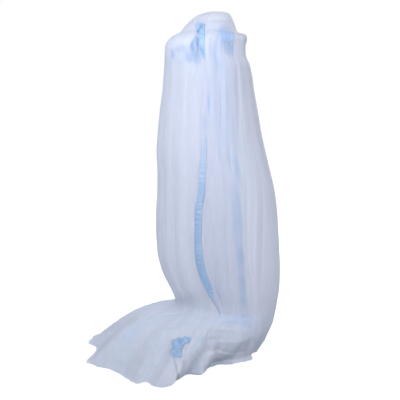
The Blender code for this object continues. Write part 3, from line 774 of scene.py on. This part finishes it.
# One grid for the whole net: once round and on under the outer flap.
def unrollNet(rows, points, normals, looks):
    columns = netForm["columns"]
    lapColumns = round(columns * netForm["lapShare"])
    fade = columns * netForm["fadeShare"]
    column = np.arange(columns + lapColumns + 1)
    home = column % columns
    past = np.maximum(home - lapColumns, 0)
    lap = 1 - ease(np.minimum(past, columns - home) / fade)
    side = np.where(column > columns - fade, -1.0, 1.0)
    opened = ease((rows - netForm["slitRing"]) / netForm["slitRings"])[:, None]
    step = side * lap * netForm["flapGap"] * opened
    grid = points[:, home] + normals[:, home] * step[..., None]
    lowest = floorZ + netForm["floorGap"] + np.where(side > 0, netForm["lapOnFloor"] * lap, 0)
    onFloor = rows > skirtRings + 1
    grid[onFloor, :, 2] = np.maximum(grid[onFloor, :, 2], lowest)
    return grid, looks[:, home]


# A mesh piece; distances place its points on the flat cloth, and shares are values for its material.
def makePiece(name, places, faces, distances=None, shares=None):
    mesh = bpy.data.meshes.new(name)
    mesh.from_pydata([tuple(p) for p in places], [], [tuple(int(i) for i in f) for f in faces])
    mesh.shade_smooth()
    if distances is not None:
        corner = np.zeros(len(mesh.loops), int)
        mesh.loops.foreach_get("vertex_index", corner)
        layer = mesh.uv_layers.new(name="weave")
        layer.data.foreach_set("uv", np.array(distances)[corner].astype(np.float32).ravel())
    for share, values in (shares or {}).items():
        layer = mesh.attributes.new(share, "FLOAT", "POINT")
        layer.data.foreach_set("value", np.array(values, np.float32).ravel())
    return addThing(name, mesh)


def netMesh(rows, grid, looks):
    columns, width = netForm["columns"], grid.shape[1]
    slitRow = int(np.searchsorted(rows, netForm["slitRing"]))
    index = np.zeros((len(rows), width), int)
    places, distances, shares = [grid[0].mean(0) * [0, 0, 1]], [(0.0, 0.0)], [looks[0].mean(0)]
    along = np.concatenate([[0], np.cumsum(np.linalg.norm(np.diff(grid, axis=0), axis=-1).mean(1))])
    around = np.linspace(0, netForm["clothRound"] * width / columns, width)
    for row in range(len(rows)):
        used = columns if row <= slitRow else width
        index[row] = len(places) + np.arange(width) % used
        places.extend(grid[row, :used])
        shares.extend(looks[row, :used])
        distances.extend((around[c], along[row]) for c in range(used))
    faces = [(0, index[0, c], index[0, (c + 1) % columns]) for c in range(columns)]
    for row in range(len(rows) - 1):
        last = columns if row < slitRow else width - 1
        top, low = index[row], index[row + 1]
        faces += [(top[c], low[c], low[c + 1], top[c + 1]) for c in range(last)]
    names = ("threadShare", "blueShare", "paintedHighlightShare", "paintedShadeShare")
    return makePiece("netSheet", places, faces, distances, dict(zip(names, np.array(shares).T)))


rows, netPoints, pointLooks = makeNetSurface()
netNormals = surfaceNormals(netPoints)
net = netMesh(rows, *unrollNet(rows, netPoints, netNormals, pointLooks))
print("net made:", len(rows), "rows,", len(net.data.polygons), "faces")


# Points and outward normals of the net at ring numbers and angles.
def onNet(ring, angle):
    doors = smoothRows(doorAngles(), ring.ravel())
    outer, inner = doors[:, 0].reshape(ring.shape), doors[:, 1].reshape(ring.shape)
    past = (angle - outer) % 360
    lap, span = netForm["lapShare"], inner - outer
    turn = np.where(past < span, past / span * lap, lap + (past - span) / (360 - span) * (1 - lap))
    row = np.interp(ring, rows, np.arange(len(rows)))
    column = turn * netForm["columns"]
    r0, c0 = np.clip(np.floor(row).astype(int), 0, len(rows) - 2), np.floor(column).astype(int)
    dr, dc = (row - r0)[..., None], (column - c0)[..., None]
    c0, c1 = c0 % netForm["columns"], (c0 + 1) % netForm["columns"]

    def blended(grid):
        upper = grid[r0, c0] * (1 - dc) + grid[r0, c1] * dc
        lower = grid[r0 + 1, c0] * (1 - dc) + grid[r0 + 1, c1] * dc
        return upper * (1 - dr) + lower * dr
    return blended(netPoints), blended(netNormals)


# Ribbons. A route's rows hold the ring and angle of the left edge, the ring and angle of the right
# edge, and the side: 1 over the flap, -1 under it.
ribbonForm = {
    "width": 0.030,
    "step": 0.0032,
    "across": 10,
    "thickness": 0.0005,
    "overFlap": 0.0004,
    "underFlap": 0.0004,
    "edgeCurl": 0.0010,         # the edges curl down a little
    "pucker": 0.0006,
    "pleats": 0,
    "pleatDepth": 0.0,
    "pleatDrift": (1.3, 40, 2.2, 23),   # radians and per metre, radians across and per metre
    "crumples": [],
    "folds": [],
    "netOver": [(0, 0)],
    # waves: radians per metre along, radians across, slow radians per metre, how far they wander
    "puckerWaves": [(410, 0, 37, 3), (910, 5, 61, 2)],
    "puckerFade": (19, 3),
    "crumpleWaves": [(260, 4, 55, 2), (150, -6, 0, 0)],
}
outerRibbon = dict(ribbonForm, **{
    "overFlap": 0.0044,
    "underFlap": -0.0012,
    "pucker": 0.0007,
    "route": [
        (4.74, 235.3, 4.80, 257.2, 1), (5.54, 242.1, 5.58, 260.5, 1), (6.88, 248.7, 6.92, 261.4, 1),
        (8.26, 255.6, 8.26, 266.0, 1), (9.06, 258.6, 9.06, 269.0, 1), (9.68, 263.3, 9.68, 269.8, 1),
        (10.16, 265.6, 10.16, 269.8, 0.8), (10.60, 266.1, 10.60, 269.1, 0.2),
        (11.08, 265.5, 11.08, 269.2, -0.6), (11.90, 264.0, 11.90, 269.5, -1),
        (12.62, 265.2, 12.62, 269.9, -1), (13.10, 266.8, 13.10, 270.6, -1),
        (13.70, 266.5, 13.70, 270.1, -1), (14.18, 262.6, 14.18, 268.7, -1),
        (14.62, 261.8, 14.62, 266.6, -0.6), (14.84, 262.9, 14.84, 265.4, 0.05),
        (15.04, 262.9, 15.04, 265.5, 0.45), (15.40, 262.2, 15.40, 265.6, 0.7),
        (15.72, 261.0, 15.72, 265.3, 0.9), (16.06, 259.5, 16.06, 264.6, 1),
        (16.48, 257.1, 16.48, 262.9, 1), (16.90, 254.8, 16.90, 261.0, 1),
        (17.48, 253.2, 17.46, 259.6, 1), (17.90, 252.2, 17.90, 258.5, 1),
        (18.20, 250.8, 18.18, 257.2, 1), (18.52, 249.4, 18.52, 256.2, 1),
        (19.02, 248.7, 19.00, 255.6, 1), (19.60, 248.6, 19.58, 255.2, 1),
        (20.24, 248.2, 20.22, 255.0, 1), (20.82, 248.0, 20.80, 255.7, 1),
        (21.32, 248.5, 21.30, 256.2, 0.9), (21.80, 249.8, 21.78, 257.0, 0.7),
        (22.30, 252.1, 22.28, 258.9, 0.85), (22.70, 253.3, 22.68, 259.0, 0.5),
        (23.06, 255.8, 23.04, 259.9, 0.15), (23.52, 259.2, 23.52, 261.9, -0.3),
        (23.86, 262.8, 23.90, 265.4, -0.7), (24.60, 264.6, 25.06, 269.2, -1),
        (25.24, 258.6, 26.10, 266.0, -1), (25.78, 251.0, 26.70, 259.8, -1),
        (26.50, 247.1, 27.32, 254.5, -1), (26.90, 243.7, 27.46, 248.1, 0.4),
        (27.06, 237.4, 27.62, 243.8, 1), (27.46, 234.3, 27.90, 243.7, 1),
        (28.00, 235.3, 28.08, 244.0, 1), (28.38, 239.2, 28.42, 246.3, 1),
        (28.70, 246.1, 28.76, 251.0, -1), (29.20, 250.4, 29.46, 257.6, -1),
        (29.92, 256.6, 31.00, 264.8, -1),
    ],
    # crumpled stretches: ring from, ring to, height
    "crumples": [(27.0, 28.5, 0.0075), (5.0, 7.4, 0.0020), (17.6, 19.2, 0.0008)],
    # folds: ring and share across where each starts and ends, depth, half width, share of painted shade in
    # deeper blue
    "folds": [
        (4.80, 0.90, 6.90, 0.12, 0.0030, 0.0045, 0.6), (6.90, 0.10, 7.90, 0.06, 0.003, 0.003, 0.5),
        (7.90, 0.05, 9.20, 0.12, 0.0040, 0.0052, 1.0), (9.20, 0.15, 10.1, 0.35, 0.002, 0.005, 0.6),
    ],
    # ring, and share of the net that lies over the ribbon there
    "netOver": [
        (10.5, 0), (14.6, 0.45), (17.0, 0.40), (17.5, 0.10), (18.6, 0.14), (20.1, 0.06), (20.5, 0.22),
        (20.8, 0), (22.3, 0), (23.3, 0.30), (24.0, 0.3), (26.0, 0),
    ],
})
innerRibbon = dict(ribbonForm, **{
    "route": [
        (5.36, 299.2, 5.28, 322.6, 1), (7.44, 294.8, 7.36, 309.1, 1), (9.04, 300.8, 9.00, 315.1, 1),
        (10.14, 302.1, 10.12, 316.8, 1), (11.16, 299.4, 11.16, 310.5, 1),
        (12.20, 300.4, 12.20, 308.5, 1), (13.48, 299.6, 13.48, 306.6, 1),
        (14.38, 297.8, 14.40, 303.8, 1), (15.32, 295.9, 15.32, 300.2, 1),
        (16.26, 292.2, 16.26, 296.0, 1), (16.96, 289.3, 16.96, 293.2, 1),
        (17.66, 286.2, 17.68, 291.4, 1), (18.38, 284.4, 18.38, 292.1, 1),
        (19.34, 284.5, 19.36, 292.7, 1), (20.30, 284.8, 20.34, 292.4, 1),
        (20.80, 286.3, 20.82, 292.9, 1), (21.30, 286.6, 21.32, 293.9, 1),
        (21.80, 285.5, 21.82, 293.4, 1), (22.30, 285.4, 22.32, 291.8, 1),
        (22.80, 285.7, 22.82, 291.2, 1), (23.38, 287.0, 23.40, 292.7, 1),
        (23.98, 290.1, 24.02, 295.3, 1), (25.32, 293.2, 25.34, 296.4, 1),
        (26.38, 294.3, 26.40, 298.0, 1), (27.66, 294.8, 27.82, 298.9, 1),
        (29.16, 296.5, 29.60, 302.9, 1),
    ],
    "crumples": [(19.0, 22.5, 0.0008)],
})
# where the hoop's tape bunches up on both sides of the doorway
tapeGathers = dict(ribbonForm, **{
    "width": 0.045,
    "step": 0.003,
    "across": 28,
    "overFlap": -0.0028,
    "underFlap": -0.0045,
    "pleats": 2,
    "pleatDepth": 0.0022,
    "route": [
        (7.66, 243.0, 7.68, 254.0, 1), (8.54, 247.7, 8.54, 258.1, 1), (9.28, 249.0, 9.30, 260.6, 1),
        (9.94, 249.3, 9.94, 261.9, 1), (10.58, 249.2, 10.60, 262.1, 1), (11.08, 250.3, 11.08, 260.3, 1),
    ],
})
tapeGathersRight = dict(tapeGathers, **{
    "overFlap": 0.0003,
    "pleatDepth": 0.0014,
    "route": [
        (5.30, 292.0, 5.24, 309.8, 1), (6.52, 286.9, 6.42, 306.4, 1), (8.10, 288.3, 8.06, 302.3, 1),
        (9.16, 294.5, 9.14, 307.7, 1), (10.14, 298.1, 10.14, 309.0, 1), (10.90, 296.6, 10.88, 302.8, 1),
    ],
})


def thicken(thing):
    solid = thing.modifiers.new("clothThickness", "SOLIDIFY")
    solid.thickness = ribbonForm["thickness"]
    solid.offset = 0


# A wave that wanders along the ribbon; u is metres along it and c the share across it.
def ribbonWave(u, c, wave):
    perMetre, across, slow, much = wave
    return np.sin(u * perMetre + across * c + much * np.sin(u * slow))


# Height of the ribbon's folds, and how deep in painted shade they lie.
def foldHeight(plan, u, c, middle):
    height, shade = 0 * u * c, 0 * u * c
    side = c * plan["width"]
    for r0, c0, r1, c1, deep, wide, blue in plan["folds"]:
        u0, u1 = np.interp((r0, r1), middle, u[:, 0])
        c0, c1 = c0 * plan["width"], c1 * plan["width"]
        _, apart = nearestOnLine(u - u0, side - c0, u1 - u0, c1 - c0)
        near = np.exp(-apart / wide ** 2)
        height -= deep * near
        shade = np.maximum(shade, blue * near)
    return height, shade


def ribbonHeight(plan, u, c, middle, side):
    over = ease((side + 1) / 2)
    height = between((plan["underFlap"], plan["overFlap"]), over) + 0 * c
    first, second = plan["puckerWaves"]
    fade = np.cos(u * plan["puckerFade"][0] + plan["puckerFade"][1] * c)
    height += plan["pucker"] * (ribbonWave(u, c, first) * fade + 0.6 * ribbonWave(u, c, second))
    height -= plan["edgeCurl"] * (2 * c - 1) ** 6 * over
    first, second = plan["crumpleWaves"]
    wave = ribbonWave(u, c, first) + 0.7 * ribbonWave(u, c, second)
    for start, end, size in plan["crumples"]:
        share = np.exp(-((middle[:, None] - (start + end) / 2) / ((end - start) / 2)) ** 4)
        height += size * share * over * (0.75 + 0.5 * wave)
    if plan["pleats"]:
        ends = np.sin(np.pi * (u / u[-1])) ** 0.5
        much, slow, muchAcross, slowAcross = plan["pleatDrift"]
        drift = much * np.sin(u * slow) + muchAcross * c * np.sin(u * slowAcross)
        height += plan["pleatDepth"] * ends * pleat(2 * np.pi * plan["pleats"] * c + drift)
    return height


def ribbonMesh(name, plan):
    route = np.array(plan["route"], float)
    t = np.linspace(0, len(route) - 1, 40 * len(route))
    fine = smoothRows(route, t)
    places, _ = onNet((fine[:, 0] + fine[:, 2]) / 2, (fine[:, 1] + fine[:, 3]) / 2)
    length = np.concatenate([[0], np.cumsum(np.linalg.norm(np.diff(places, axis=0), axis=1))])
    count = int(length[-1] / plan["step"]) + 1
    reach = np.linspace(0, length[-1], count)
    line = smoothRows(route, np.interp(reach, length, t))
    u, c = reach[:, None], np.linspace(0, 1, plan["across"] + 1)[None, :]
    ring, angle = between((line[:, 0:1], line[:, 2:3]), c), between((line[:, 1:2], line[:, 3:4]), c)
    points, normals = onNet(ring, angle)
    middle = (line[:, 0] + line[:, 2]) / 2
    folds, shade = foldHeight(plan, u, c, middle)
    height = ribbonHeight(plan, u, c, middle, line[:, 4:5]) + folds
    points = points + normals * height[..., None]
    points[..., 2] = np.maximum(points[..., 2], restZ + 0.001)

    width = plan["across"] + 1
    faces = [(r * width + k, (r + 1) * width + k, (r + 1) * width + k + 1, r * width + k + 1)
             for r in range(count - 1) for k in range(width - 1)]
    distances = [(share * plan["width"], r) for r in reach for share in c[0]]
    netOver = np.interp(middle, *np.array(plan["netOver"]).T)[:, None] + 0 * c
    shares = {"paintedFoldShadeShare": shade, "netShare": netOver}
    thing = makePiece(name, points.reshape(-1, 3), faces, distances, shares)
    thicken(thing)
    return thing, length[-1]


ribbons = {}
for name, plan in (("outerRibbon", outerRibbon), ("innerRibbon", innerRibbon),
                   ("tapeGathers", tapeGathers), ("tapeGathersRight", tapeGathersRight)):
    ribbons[name] = ribbonMesh(name, plan)
    print(name, "made,", round(ribbons[name][1], 3), "m long")


# Hoop and its tape.
hoopTape = {
    "legLength": 0.044,         # how far the tape hangs below the hoop, inside and outside
    "flatWidth": 0.09,
    "flatLength": 0.92,
    "gathers": 46,
    "gatherDepth": 0.0016,
    "gatherWander": [(1.4, 7, 0), (0.9, 12, 2)],
    "edgeWander": [(0.06, 9, 0), (0.05, 23, 1)],
    "columns": 480,
    "legSteps": 8,
    "bendSteps": 8,
    "clearance": 0.0008,        # between the wire and the tape
}
hoopWire = {"segments": 160, "sides": 14}


# A row of points for each step round the hoop: faces between neighbours, closed round the hoop.
def hoopFaces(rows, columns, closed):
    last = rows if closed else rows - 1
    return [(r * columns + k, r * columns + (k + 1) % columns,
             (r + 1) % rows * columns + (k + 1) % columns, (r + 1) % rows * columns + k)
            for r in range(last) for k in range(columns)]


def hoopMesh(name):
    count, sides = hoopWire["segments"], hoopWire["sides"]
    places = []
    for side in range(sides):
        b = 2 * math.pi * side / sides
        r, z = hoopRadius + wireRadius * math.cos(b), hoopCentre.z + wireRadius * math.sin(b)
        turns = [2 * math.pi * step / count for step in range(count)]
        places += [(hoopCentre.x + r * math.cos(a), hoopCentre.y + r * math.sin(a), z) for a in turns]
    return makePiece(name, places, hoopFaces(sides, count, True))


# Across the tape: radius from the hoop's line, height, share of the leg.
def tapeProfile():
    legs, bends, leg = hoopTape["legSteps"], hoopTape["bendSteps"], hoopTape["legLength"]
    reach = wireRadius + hoopTape["clearance"]
    outside = [(reach, -leg * (1 - k / legs), 1 - k / legs) for k in range(legs)]
    turns = [math.pi * k / bends for k in range(bends + 1)]
    over = [(reach * math.cos(b), reach * math.sin(b), 0) for b in turns]
    inside = [(-reach, -leg * k / legs, k / legs) for k in range(1, legs + 1)]
    return outside + over + inside


def tapeMesh(name):
    columns, profile = hoopTape["columns"], tapeProfile()
    a = np.linspace(0, 2 * np.pi, columns, endpoint=False)
    uneven = 0.6 + 0.4 * np.sin(5 * a + 1) * np.sin(3 * a)
    gather = uneven * pleat(hoopTape["gathers"] * a + sines(hoopTape["gatherWander"], a))
    edge = sines(hoopTape["edgeWander"], a)
    places, distances = [], []
    for number, (out, high, share) in enumerate(profile):
        wave = hoopTape["gatherDepth"] * share ** 0.7 * gather * (1 if out > 0 else -1)
        r, z = hoopRadius + out + wave, hoopCentre.z + high * (1 + edge * share)
        places += list(zip(hoopCentre.x + r * np.cos(a), hoopCentre.y + r * np.sin(a), z))
        across = number / (len(profile) - 1) * hoopTape["flatWidth"]
        distances += [(across, k / columns * hoopTape["flatLength"]) for k in range(columns)]
    thing = makePiece(name, places, hoopFaces(len(profile), columns, False), distances)
    thicken(thing)
    return thing


hoop = hoopMesh("hoopRing")
tape = tapeMesh("hoopTapeCloth")
print("hoop and tape made")


# Finishes.
def newGroup(name, values, outputs):
    group = bpy.data.node_groups.new(name, "ShaderNodeTree")
    face = group.interface
    face.new_socket("Place", in_out="INPUT", socket_type="NodeSocketVector")
    for socket, value in values.items():
        kind = "NodeSocketColor" if isinstance(value, tuple) else "NodeSocketFloat"
        made = face.new_socket(socket, in_out="INPUT", socket_type=kind)
        made.default_value = (*value, 1) if isinstance(value, tuple) else value
    for socket, kind in outputs.items():
        face.new_socket(socket, in_out="OUTPUT", socket_type=kind)
    given, result = group.nodes.new("NodeGroupInput"), group.nodes.new("NodeGroupOutput")
    split = addNode(group, "SeparateXYZ", {0: given.outputs["Place"]})
    return group, given.outputs, result, split.outputs


# Long soft streaks along a cloth and a slow drift between two colours.
def makeStreaksGroup():
    values = {"Streaks Per Metre": 120.0, "Stretch": 0.04, "Contrast": 0.3, "Colour": (0.8, 0.8, 0.8),
              "Second Colour": (0.8, 0.8, 0.8)}
    outputs = {"Colour": "NodeSocketColor", "Streak": "NodeSocketFloat"}
    group, given, result, split = newGroup("clothStreaks", values, outputs)
    across = mathNode(group, "MULTIPLY", split[0], given["Streaks Per Metre"])
    down = mathNode(group, "MULTIPLY", split[1], given["Streaks Per Metre"])
    down = mathNode(group, "MULTIPLY", down, given["Stretch"])
    place = addNode(group, "CombineXYZ", {0: across, 1: down}).outputs[0]
    noise = {"Vector": place, "Scale": 1.0, "Detail": 3.0, "Roughness": 0.55}
    streak = rangeNode(group, addNode(group, "TexNoise", noise).outputs[0], 0.3, 0.7)
    slow = {"Vector": place, "Scale": 0.2, "Detail": 2.0}
    drift = rangeNode(group, addNode(group, "TexNoise", slow).outputs[0], 0.2, 0.8)
    tint = mixColour(group, drift, given["Colour"], given["Second Colour"])
    shade = mathNode(group, "SUBTRACT", 1.0, mathNode(group, "MULTIPLY", streak, given["Contrast"]))
    grey = addNode(group, "CombineXYZ", {0: shade, 1: shade, 2: shade}).outputs[0]
    fill(group, result, {"Colour": mixColour(group, 1, tint, grey, "MULTIPLY"), "Streak": streak})
    return group


satinForm = {
    "warpShare": 0.5,           # of the weave's height
    "weaveHeight": 0.12,
    "stitchHeight": 1.5,
    "stitchHalf": 0.0004,       # half the width of the stitching thread
    "stitchShows": 0.72,        # share of each stitch that lies on top
}


# Fine satin threads, and a row of stitches along both long edges of a ribbon.
def makeSatinGroup():
    values = {"Thread Pitch": 0.0005, "Ribbon Width": 0.030, "Stitch Inset": 0.003, "Stitch Length": 0.0032}
    outputs = {"Height": "NodeSocketFloat", "Stitch": "NodeSocketFloat"}
    group, given, result, split = newGroup("satinAndStitches", values, outputs)
    across = mathNode(group, "DIVIDE", split[0], given["Thread Pitch"])
    along = mathNode(group, "DIVIDE", split[1], given["Thread Pitch"])
    threads = mathNode(group, "SINE", mathNode(group, "MULTIPLY", along, 6.283))
    warp = mathNode(group, "SINE", mathNode(group, "MULTIPLY", across, 1.57))
    weave = mathNode(group, "ADD", threads, mathNode(group, "MULTIPLY", warp, satinForm["warpShare"]))
    other = mathNode(group, "SUBTRACT", given["Ribbon Width"], split[0])
    edge = mathNode(group, "MINIMUM", split[0], other)
    apart = mathNode(group, "ABSOLUTE", mathNode(group, "SUBTRACT", edge, given["Stitch Inset"]))
    onLine = mathNode(group, "LESS_THAN", apart, satinForm["stitchHalf"])
    beat = mathNode(group, "FRACT", mathNode(group, "DIVIDE", split[1], given["Stitch Length"]))
    shows = mathNode(group, "LESS_THAN", beat, satinForm["stitchShows"])
    stitch = mathNode(group, "MULTIPLY", onLine, shows)
    weave = mathNode(group, "MULTIPLY", weave, satinForm["weaveHeight"])
    raised = mathNode(group, "MULTIPLY", stitch, satinForm["stitchHeight"])
    fill(group, result, {"Height": mathNode(group, "ADD", weave, raised), "Stitch": stitch})
    return group


netFinish = {
    "lilac": (0.78, 0.787, 0.932),
    "blue": (0.69, 0.785, 0.953),
    "paintedHighlight": (0.90, 0.93, 0.99),    # painted highlight on pleats that catch the light
    "paintedShade": (0.53, 0.59, 0.69),    # painted shade on the front of the train and the foot's hem
    "behind": (0.25, 0.54, 1.00),  # of the ribbon and tape close under the net
    "meshSize": 0.0016,
    "meshTurn": 45,
    "meshUneven": 0.35,
    "threadWidth": 0.07,        # of the mesh size
    "threadAlpha": 0.97,
    "openAlpha": 0.28,          # between the threads, where the net lies thin
    "bunchedAlpha": 0.97,       # where it is gathered close
    "streaks": {"Streaks Per Metre": 160.0, "Stretch": 0.03, "Contrast": 0.08},
    "streakAlpha": 0.17,
    "threadBump": 0.04,
    "bump": {"Strength": 0.25, "Distance": 0.003},
    "roughness": 0.75,
    "specular": 0.2,
    "sheen": 0.1,
}
ribbonFinish = {
    "colour": (0.345, 0.545, 0.83),
    "second": (0.41, 0.595, 0.855),
    # painted light: the tape's satin is lighter than the ribbon's, to lift the shade it lies in under the
    # net
    "tapeLightenedColour": (0.40, 0.62, 0.97),
    # painted light: the inner ribbon's satin is lighter still, to lift the shade it lies in under the outer
    # flap's net
    "innerLightenedColour": (0.56, 0.74, 0.99),
    "paintedFoldShade": (0.03, 0.11, 0.42),
    "netOver": (0.66, 0.72, 0.90),  # where net lies over a ribbon
    "stitch": (0.62, 0.80, 0.98),
    "streaks": {"Streaks Per Metre": 260.0, "Stretch": 0.12, "Contrast": 0.14},
    "bump": {"Strength": 0.35, "Distance": 0.0005},
    "roughness": 0.42,
    "specular": 0.5,
    "sheen": 0.2,
}
wireFinish = {
    "colour": (0.86, 0.87, 0.88),
    "second": (0.80, 0.81, 0.84),
    "streaks": {"Streaks Per Metre": 90.0, "Stretch": 1.0, "Contrast": 0.08},
    "bump": {"Strength": 0.2, "Distance": 0.0003},
    "roughness": 0.35,
    "specular": 0.5,
    "sheen": 0,
}
streaksGroup, satinGroup = makeStreaksGroup(), makeSatinGroup()


def placeUv(tree):
    return addNode(tree, "UVMap", {}, uv_map="weave").outputs[0]


def pointShare(tree, name):
    return addNode(tree, "Attribute", {}, attribute_name=name).outputs["Fac"]


def addStreaks(tree, place, finish, first, second):
    values = dict(finish["streaks"], **{"Place": place, "Colour": first, "Second Colour": second})
    return addNode(tree, "Group", values, node_tree=streaksGroup).outputs


# Gives the shader its colour, its bump and the finish's other values.
def finishShader(tree, finish, colour, height):
    bump = addNode(tree, "Bump", dict(finish["bump"], Height=height)).outputs[0]
    values = {"Base Color": colour, "Normal": bump, "Roughness": finish["roughness"],
              "Sheen Weight": finish["sheen"], "Specular IOR Level": finish["specular"]}
    fill(tree, tree.nodes["Principled BSDF"], values)


def makeNetFinish():
    material, tree = newMaterial("sheerNet")
    place = placeUv(tree)
    cloth = addStreaks(tree, place, netFinish, netFinish["lilac"], netFinish["blue"])
    turn = {"Vector": place, "Angle": math.radians(netFinish["meshTurn"])}
    turned = addNode(tree, "VectorRotate", turn, rotation_type="Z_AXIS").outputs[0]
    grain = {"Vector": turned, "Scale": 1 / netFinish["meshSize"], "Randomness": netFinish["meshUneven"]}
    holes = addNode(tree, "TexVoronoi", grain, feature="DISTANCE_TO_EDGE", voronoi_dimensions="2D")
    thread = mathNode(tree, "LESS_THAN", holes.outputs["Distance"], netFinish["threadWidth"])
    streak = mathNode(tree, "SUBTRACT", cloth["Streak"], 0.5)
    streak = mathNode(tree, "MULTIPLY", streak, netFinish["streakAlpha"])
    bunch = mathNode(tree, "ADD", pointShare(tree, "threadShare"), streak)
    thin = rangeNode(tree, bunch, 0.0, 1.0, netFinish["openAlpha"], netFinish["bunchedAlpha"])
    alpha = mathNode(tree, "MAXIMUM", thin, mathNode(tree, "MULTIPLY", thread, netFinish["threadAlpha"]))
    height = mathNode(tree, "MULTIPLY", thread, netFinish["threadBump"])
    height = mathNode(tree, "ADD", cloth["Streak"], height)
    colour = cloth["Colour"]
    # blue seen through the net, a painted highlight on pleats, and painted shade on the train's front and
    # the foot's hem
    for name, other in (("blueShare", "behind"), ("paintedHighlightShare", "paintedHighlight"), ("paintedShadeShare", "paintedShade")):
        colour = mixColour(tree, pointShare(tree, name), colour, netFinish[other])
    finishShader(tree, netFinish, colour, height)
    fill(tree, tree.nodes["Principled BSDF"], {"Alpha": alpha})
    return material


def makeRibbonFinish(name, width, first, second):
    material, tree = newMaterial(name)
    place = placeUv(tree)
    cloth = addStreaks(tree, place, ribbonFinish, first, second)
    satin = addNode(tree, "Group", {"Place": place, "Ribbon Width": width}, node_tree=satinGroup).outputs
    colour = mixColour(tree, satin["Stitch"], cloth["Colour"], ribbonFinish["stitch"])
    # painted shade in the ribbon's folds
    colour = mixColour(tree, pointShare(tree, "paintedFoldShadeShare"), colour, ribbonFinish["paintedFoldShade"])
    colour = mixColour(tree, pointShare(tree, "netShare"), colour, ribbonFinish["netOver"])
    finishShader(tree, ribbonFinish, colour, satin["Height"])
    return material


def makeWireFinish():
    material, tree = newMaterial("coatedWire")
    place = addNode(tree, "TexCoord", {}).outputs["Object"]
    coat = addStreaks(tree, place, wireFinish, wireFinish["colour"], wireFinish["second"])
    finishShader(tree, wireFinish, coat["Colour"], coat["Streak"])
    return material


net.data.materials.append(makeNetFinish())
satinRibbon = makeRibbonFinish("satinRibbon", outerRibbon["width"], ribbonFinish["colour"],
                               ribbonFinish["second"])
# lightened copies of the ribbon's satin: painted light for the tape and the inner ribbon, which lie in
# shade under the net
satinTapeLightened = makeRibbonFinish("satinTapeLightened", hoopTape["flatWidth"], ribbonFinish["tapeLightenedColour"],
                             ribbonFinish["second"])
satinInnerLightened = makeRibbonFinish("satinInnerLightened", innerRibbon["width"], ribbonFinish["innerLightenedColour"],
                              ribbonFinish["innerLightenedColour"])
finishes = {"outerRibbon": satinRibbon, "innerRibbon": satinInnerLightened, "tapeGathers": satinRibbon,
            "tapeGathersRight": satinTapeLightened}
for name, finish in finishes.items():
    ribbons[name][0].data.materials.append(finish)
tape.data.materials.append(satinTapeLightened)
hoop.data.materials.append(makeWireFinish())
print("finishes made")


# What stands for what.
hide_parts("net")
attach(net, "root")
for thing, _ in ribbons.values():
    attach(thing, "root")
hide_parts("door_binding_outer")
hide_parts("door_binding_inner")
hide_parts("hoop_tape")
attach(tape, "root")
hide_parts("hoop")
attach(hoop, "root")
